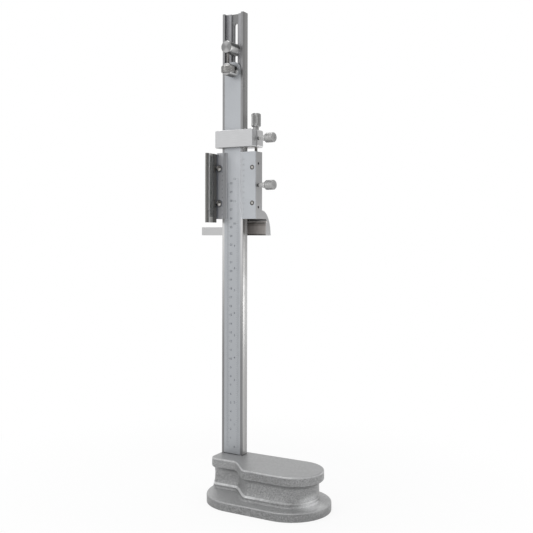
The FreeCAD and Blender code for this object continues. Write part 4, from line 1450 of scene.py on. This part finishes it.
@dataclass
class Slider:
    """The slider with its jaw, two vernier plates, gib and screws."""

    finishes: Finishes
    zero: float = 315.6 * MM
    bevel: float = 3.6 * MM
    lip: float = 0.4 * MM
    divisions: int = 50
    metric_pitch: float = 0.98 * MM
    inch_pitch: float = INCH * 49 / 20 / 50
    long_line: float = 3.3 * MM
    short_line: float = 2.3 * MM
    line_start: float = 0.12 * MM
    line_width: float = 0.13 * MM
    number_height: float = 2.0 * MM
    number_gap: float = 1.6 * MM
    screw_x: float = 27.1 * MM
    screw_head: float = 1.4 * MM
    screw_radius: float = 2.7 * MM
    screw_shank: float = 1.5 * MM
    screw_spread: float = 20.0 * MM
    screw_slot: Span = (0.62 * MM, 0.7 * MM)
    screw_turns: Span = (0.9, 0.5)
    gib_hole: float = 0.8 * MM
    gib_hole_depth: float = 1.6 * MM
    gib_socket: float = 1.5 * MM

    def build(self) -> None:
        """Makes the engravings and the screws."""
        self.engrave("metric_vernier", -1, self.metric_pitch, 1, self.finishes.middle_ink)
        self.engrave("inch_vernier", 1, self.inch_pitch, 5, self.finishes.pale_ink)
        self.plate_screws()
        self.gib_screws()
        Thumbscrew(self.finishes, "slider_clamp_screw", "slider_clamp").build()

    def engrave(self, node: str, side: int, pitch: float, count_by: int, ink: bpy.types.Material) -> None:
        """Engraves one vernier on the bevel of its plate.

        Args:
            node: The plate's node.
            side: -1 for the left plate, 1 for the right one.
            pitch: Distance between lines.
            count_by: What each numbered line adds.
            ink: What the engraving is filled with.
        """
        low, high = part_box(node)
        edge = high.x if side < 0 else low.x
        slope = math.atan2(high.y - low.y - self.lip, self.bevel)
        turn = Matrix.Rotation(-side * slope, 4, "Z")
        lines = bmesh.new()
        numbers = []
        for step in range(self.divisions + 1):
            level = self.zero + step * pitch
            length = self.short_line if step % 5 else self.long_line
            reach = length / 2 + self.line_start
            spot = (edge + side * reach * math.cos(slope), high.y - self.lip - reach * math.sin(slope), level)
            bar(lines, (length, INK_DEPTH, self.line_width), Matrix.Translation(spot) @ turn)
            if step % 5 == 0:
                place = (edge + side * (self.bevel + self.number_gap), low.y, level)
                numbers.append(number(str(step // 5 * count_by), self.number_height, place))
        piece(node + "_lines", lines, "slider", ink)
        piece(node + "_numbers", gathered(numbers), "slider", ink)

    def plate_screws(self) -> None:
        """The two slotted countersunk screws of the inch vernier."""
        low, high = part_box("vernier_screws")
        tip, shank = low.y - high.y, self.screw_shank
        profile = [(tip, 0), (tip, shank), (-self.screw_head, shank), (0, self.screw_radius), (0, 0)]
        middle = (low.z + high.z) / 2
        centres = [(self.screw_x, middle + side * self.screw_spread) for side in (-1, 1)]
        heads = HeadFinish(
            "plate_screw_heads", (0.04, 0.037, 0.033), (0.6, 0.59, 0.57), (0.36, 0.35, 0.335), centres,
            self.screw_radius, rim=0.5,
        ).material()
        mesh = slotted_pair(profile, self.screw_slot, low.y, centres, self.screw_turns)
        piece("plate_screws", mesh, "slider", heads, ["vernier_screws"])

    def gib_screws(self) -> None:
        """The two set screws that press on the gib, each with a hexagonal socket."""
        low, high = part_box("gib_screws")
        radius, hole = (high.y - low.y) / 2, self.gib_hole
        floor = high.x - self.gib_hole_depth
        parts = []
        for level in (low.z + radius, high.z - radius):
            mesh = turned([
                (low.x, 0), (low.x, radius), (high.x, radius), (high.x, hole), (floor, hole), (floor, 0),
            ], 24)
            hexagonal(mesh, hole, self.gib_socket)
            place = Matrix.Translation((0, (low.y + high.y) / 2, level)) @ Axis.RIGHT.matrix()
            parts.append(moved(mesh, place))
        mesh = gathered(parts)
        piece("gib_set_screws", mesh, "slider", self.finishes.thread, ["gib_screws"])

    def dress(self) -> None:
        """Finishes the slider, its plates and its gib."""
        dress("slider_frame", self.finishes.slider)
        dress("metric_vernier", self.finishes.shaded)
        dress("inch_vernier", self.finishes.vernier)
        dress("slider_gib", self.finishes.brass)


@dataclass
class Magnifier:
    """The folded lens frame with its bracket, hinge pin and screws."""

    finishes: Finishes
    head_radius: float = 3.7 * MM
    head_height: float = 2.6 * MM
    shank: float = 1.5 * MM
    spread: float = 20.0 * MM
    dome_runs: int = 9
    slot: Span = (0.9 * MM, 1.3 * MM)
    turns: Span = (2.3, 0.75)

    def build(self) -> None:
        """Makes the two round-headed screws."""
        low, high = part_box("bracket_screws")
        base, tip = -self.head_height, low.y - high.y
        ball = (self.head_radius ** 2 + self.head_height ** 2) / (2 * self.head_height)
        reaches = [self.head_radius * (1 - step / self.dome_runs) for step in range(self.dome_runs)]
        dome = [(math.sqrt(ball ** 2 - reach ** 2) - ball, reach) for reach in reaches]
        profile = [(tip, 0), (tip, self.shank), (base, self.shank), *dome, (0, 0)]
        middle, x = (low.z + high.z) / 2, (low.x + high.x) / 2
        centres = [(x, middle + side * self.spread) for side in (-1, 1)]
        heads = HeadFinish(
            "round_screw_heads", (0.08, 0.077, 0.07), (0.62, 0.61, 0.59), (0.06, 0.057, 0.052), centres,
            self.head_radius, rim=0.8,
        ).material()
        mesh = slotted_pair(profile, self.slot, low.y, centres, self.turns)
        piece("bracket_round_screws", mesh, "slider", heads, ["bracket_screws"])

    def dress(self) -> None:
        """Finishes the bracket, the frame, the pin and the lens."""
        dress("magnifier_bracket", self.finishes.bracket)
        dress("magnifier_frame", self.finishes.frame)
        dress("magnifier_pin", self.finishes.screw)
        dress("magnifier_lens", self.finishes.lens)


def main() -> None:
    """Builds and dresses every sub-assembly."""
    logging.basicConfig(level=logging.INFO, format="%(message)s")
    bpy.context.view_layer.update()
    Studio().build()
    finishes = Finishes()
    for kind in (Stand, MainScale, ScaleAdjuster, Carriage, FineScrew, Slider, Magnifier):
        assembly = kind(finishes)
        assembly.build()
        assembly.dress()


if __name__ == "__main__":
    main()
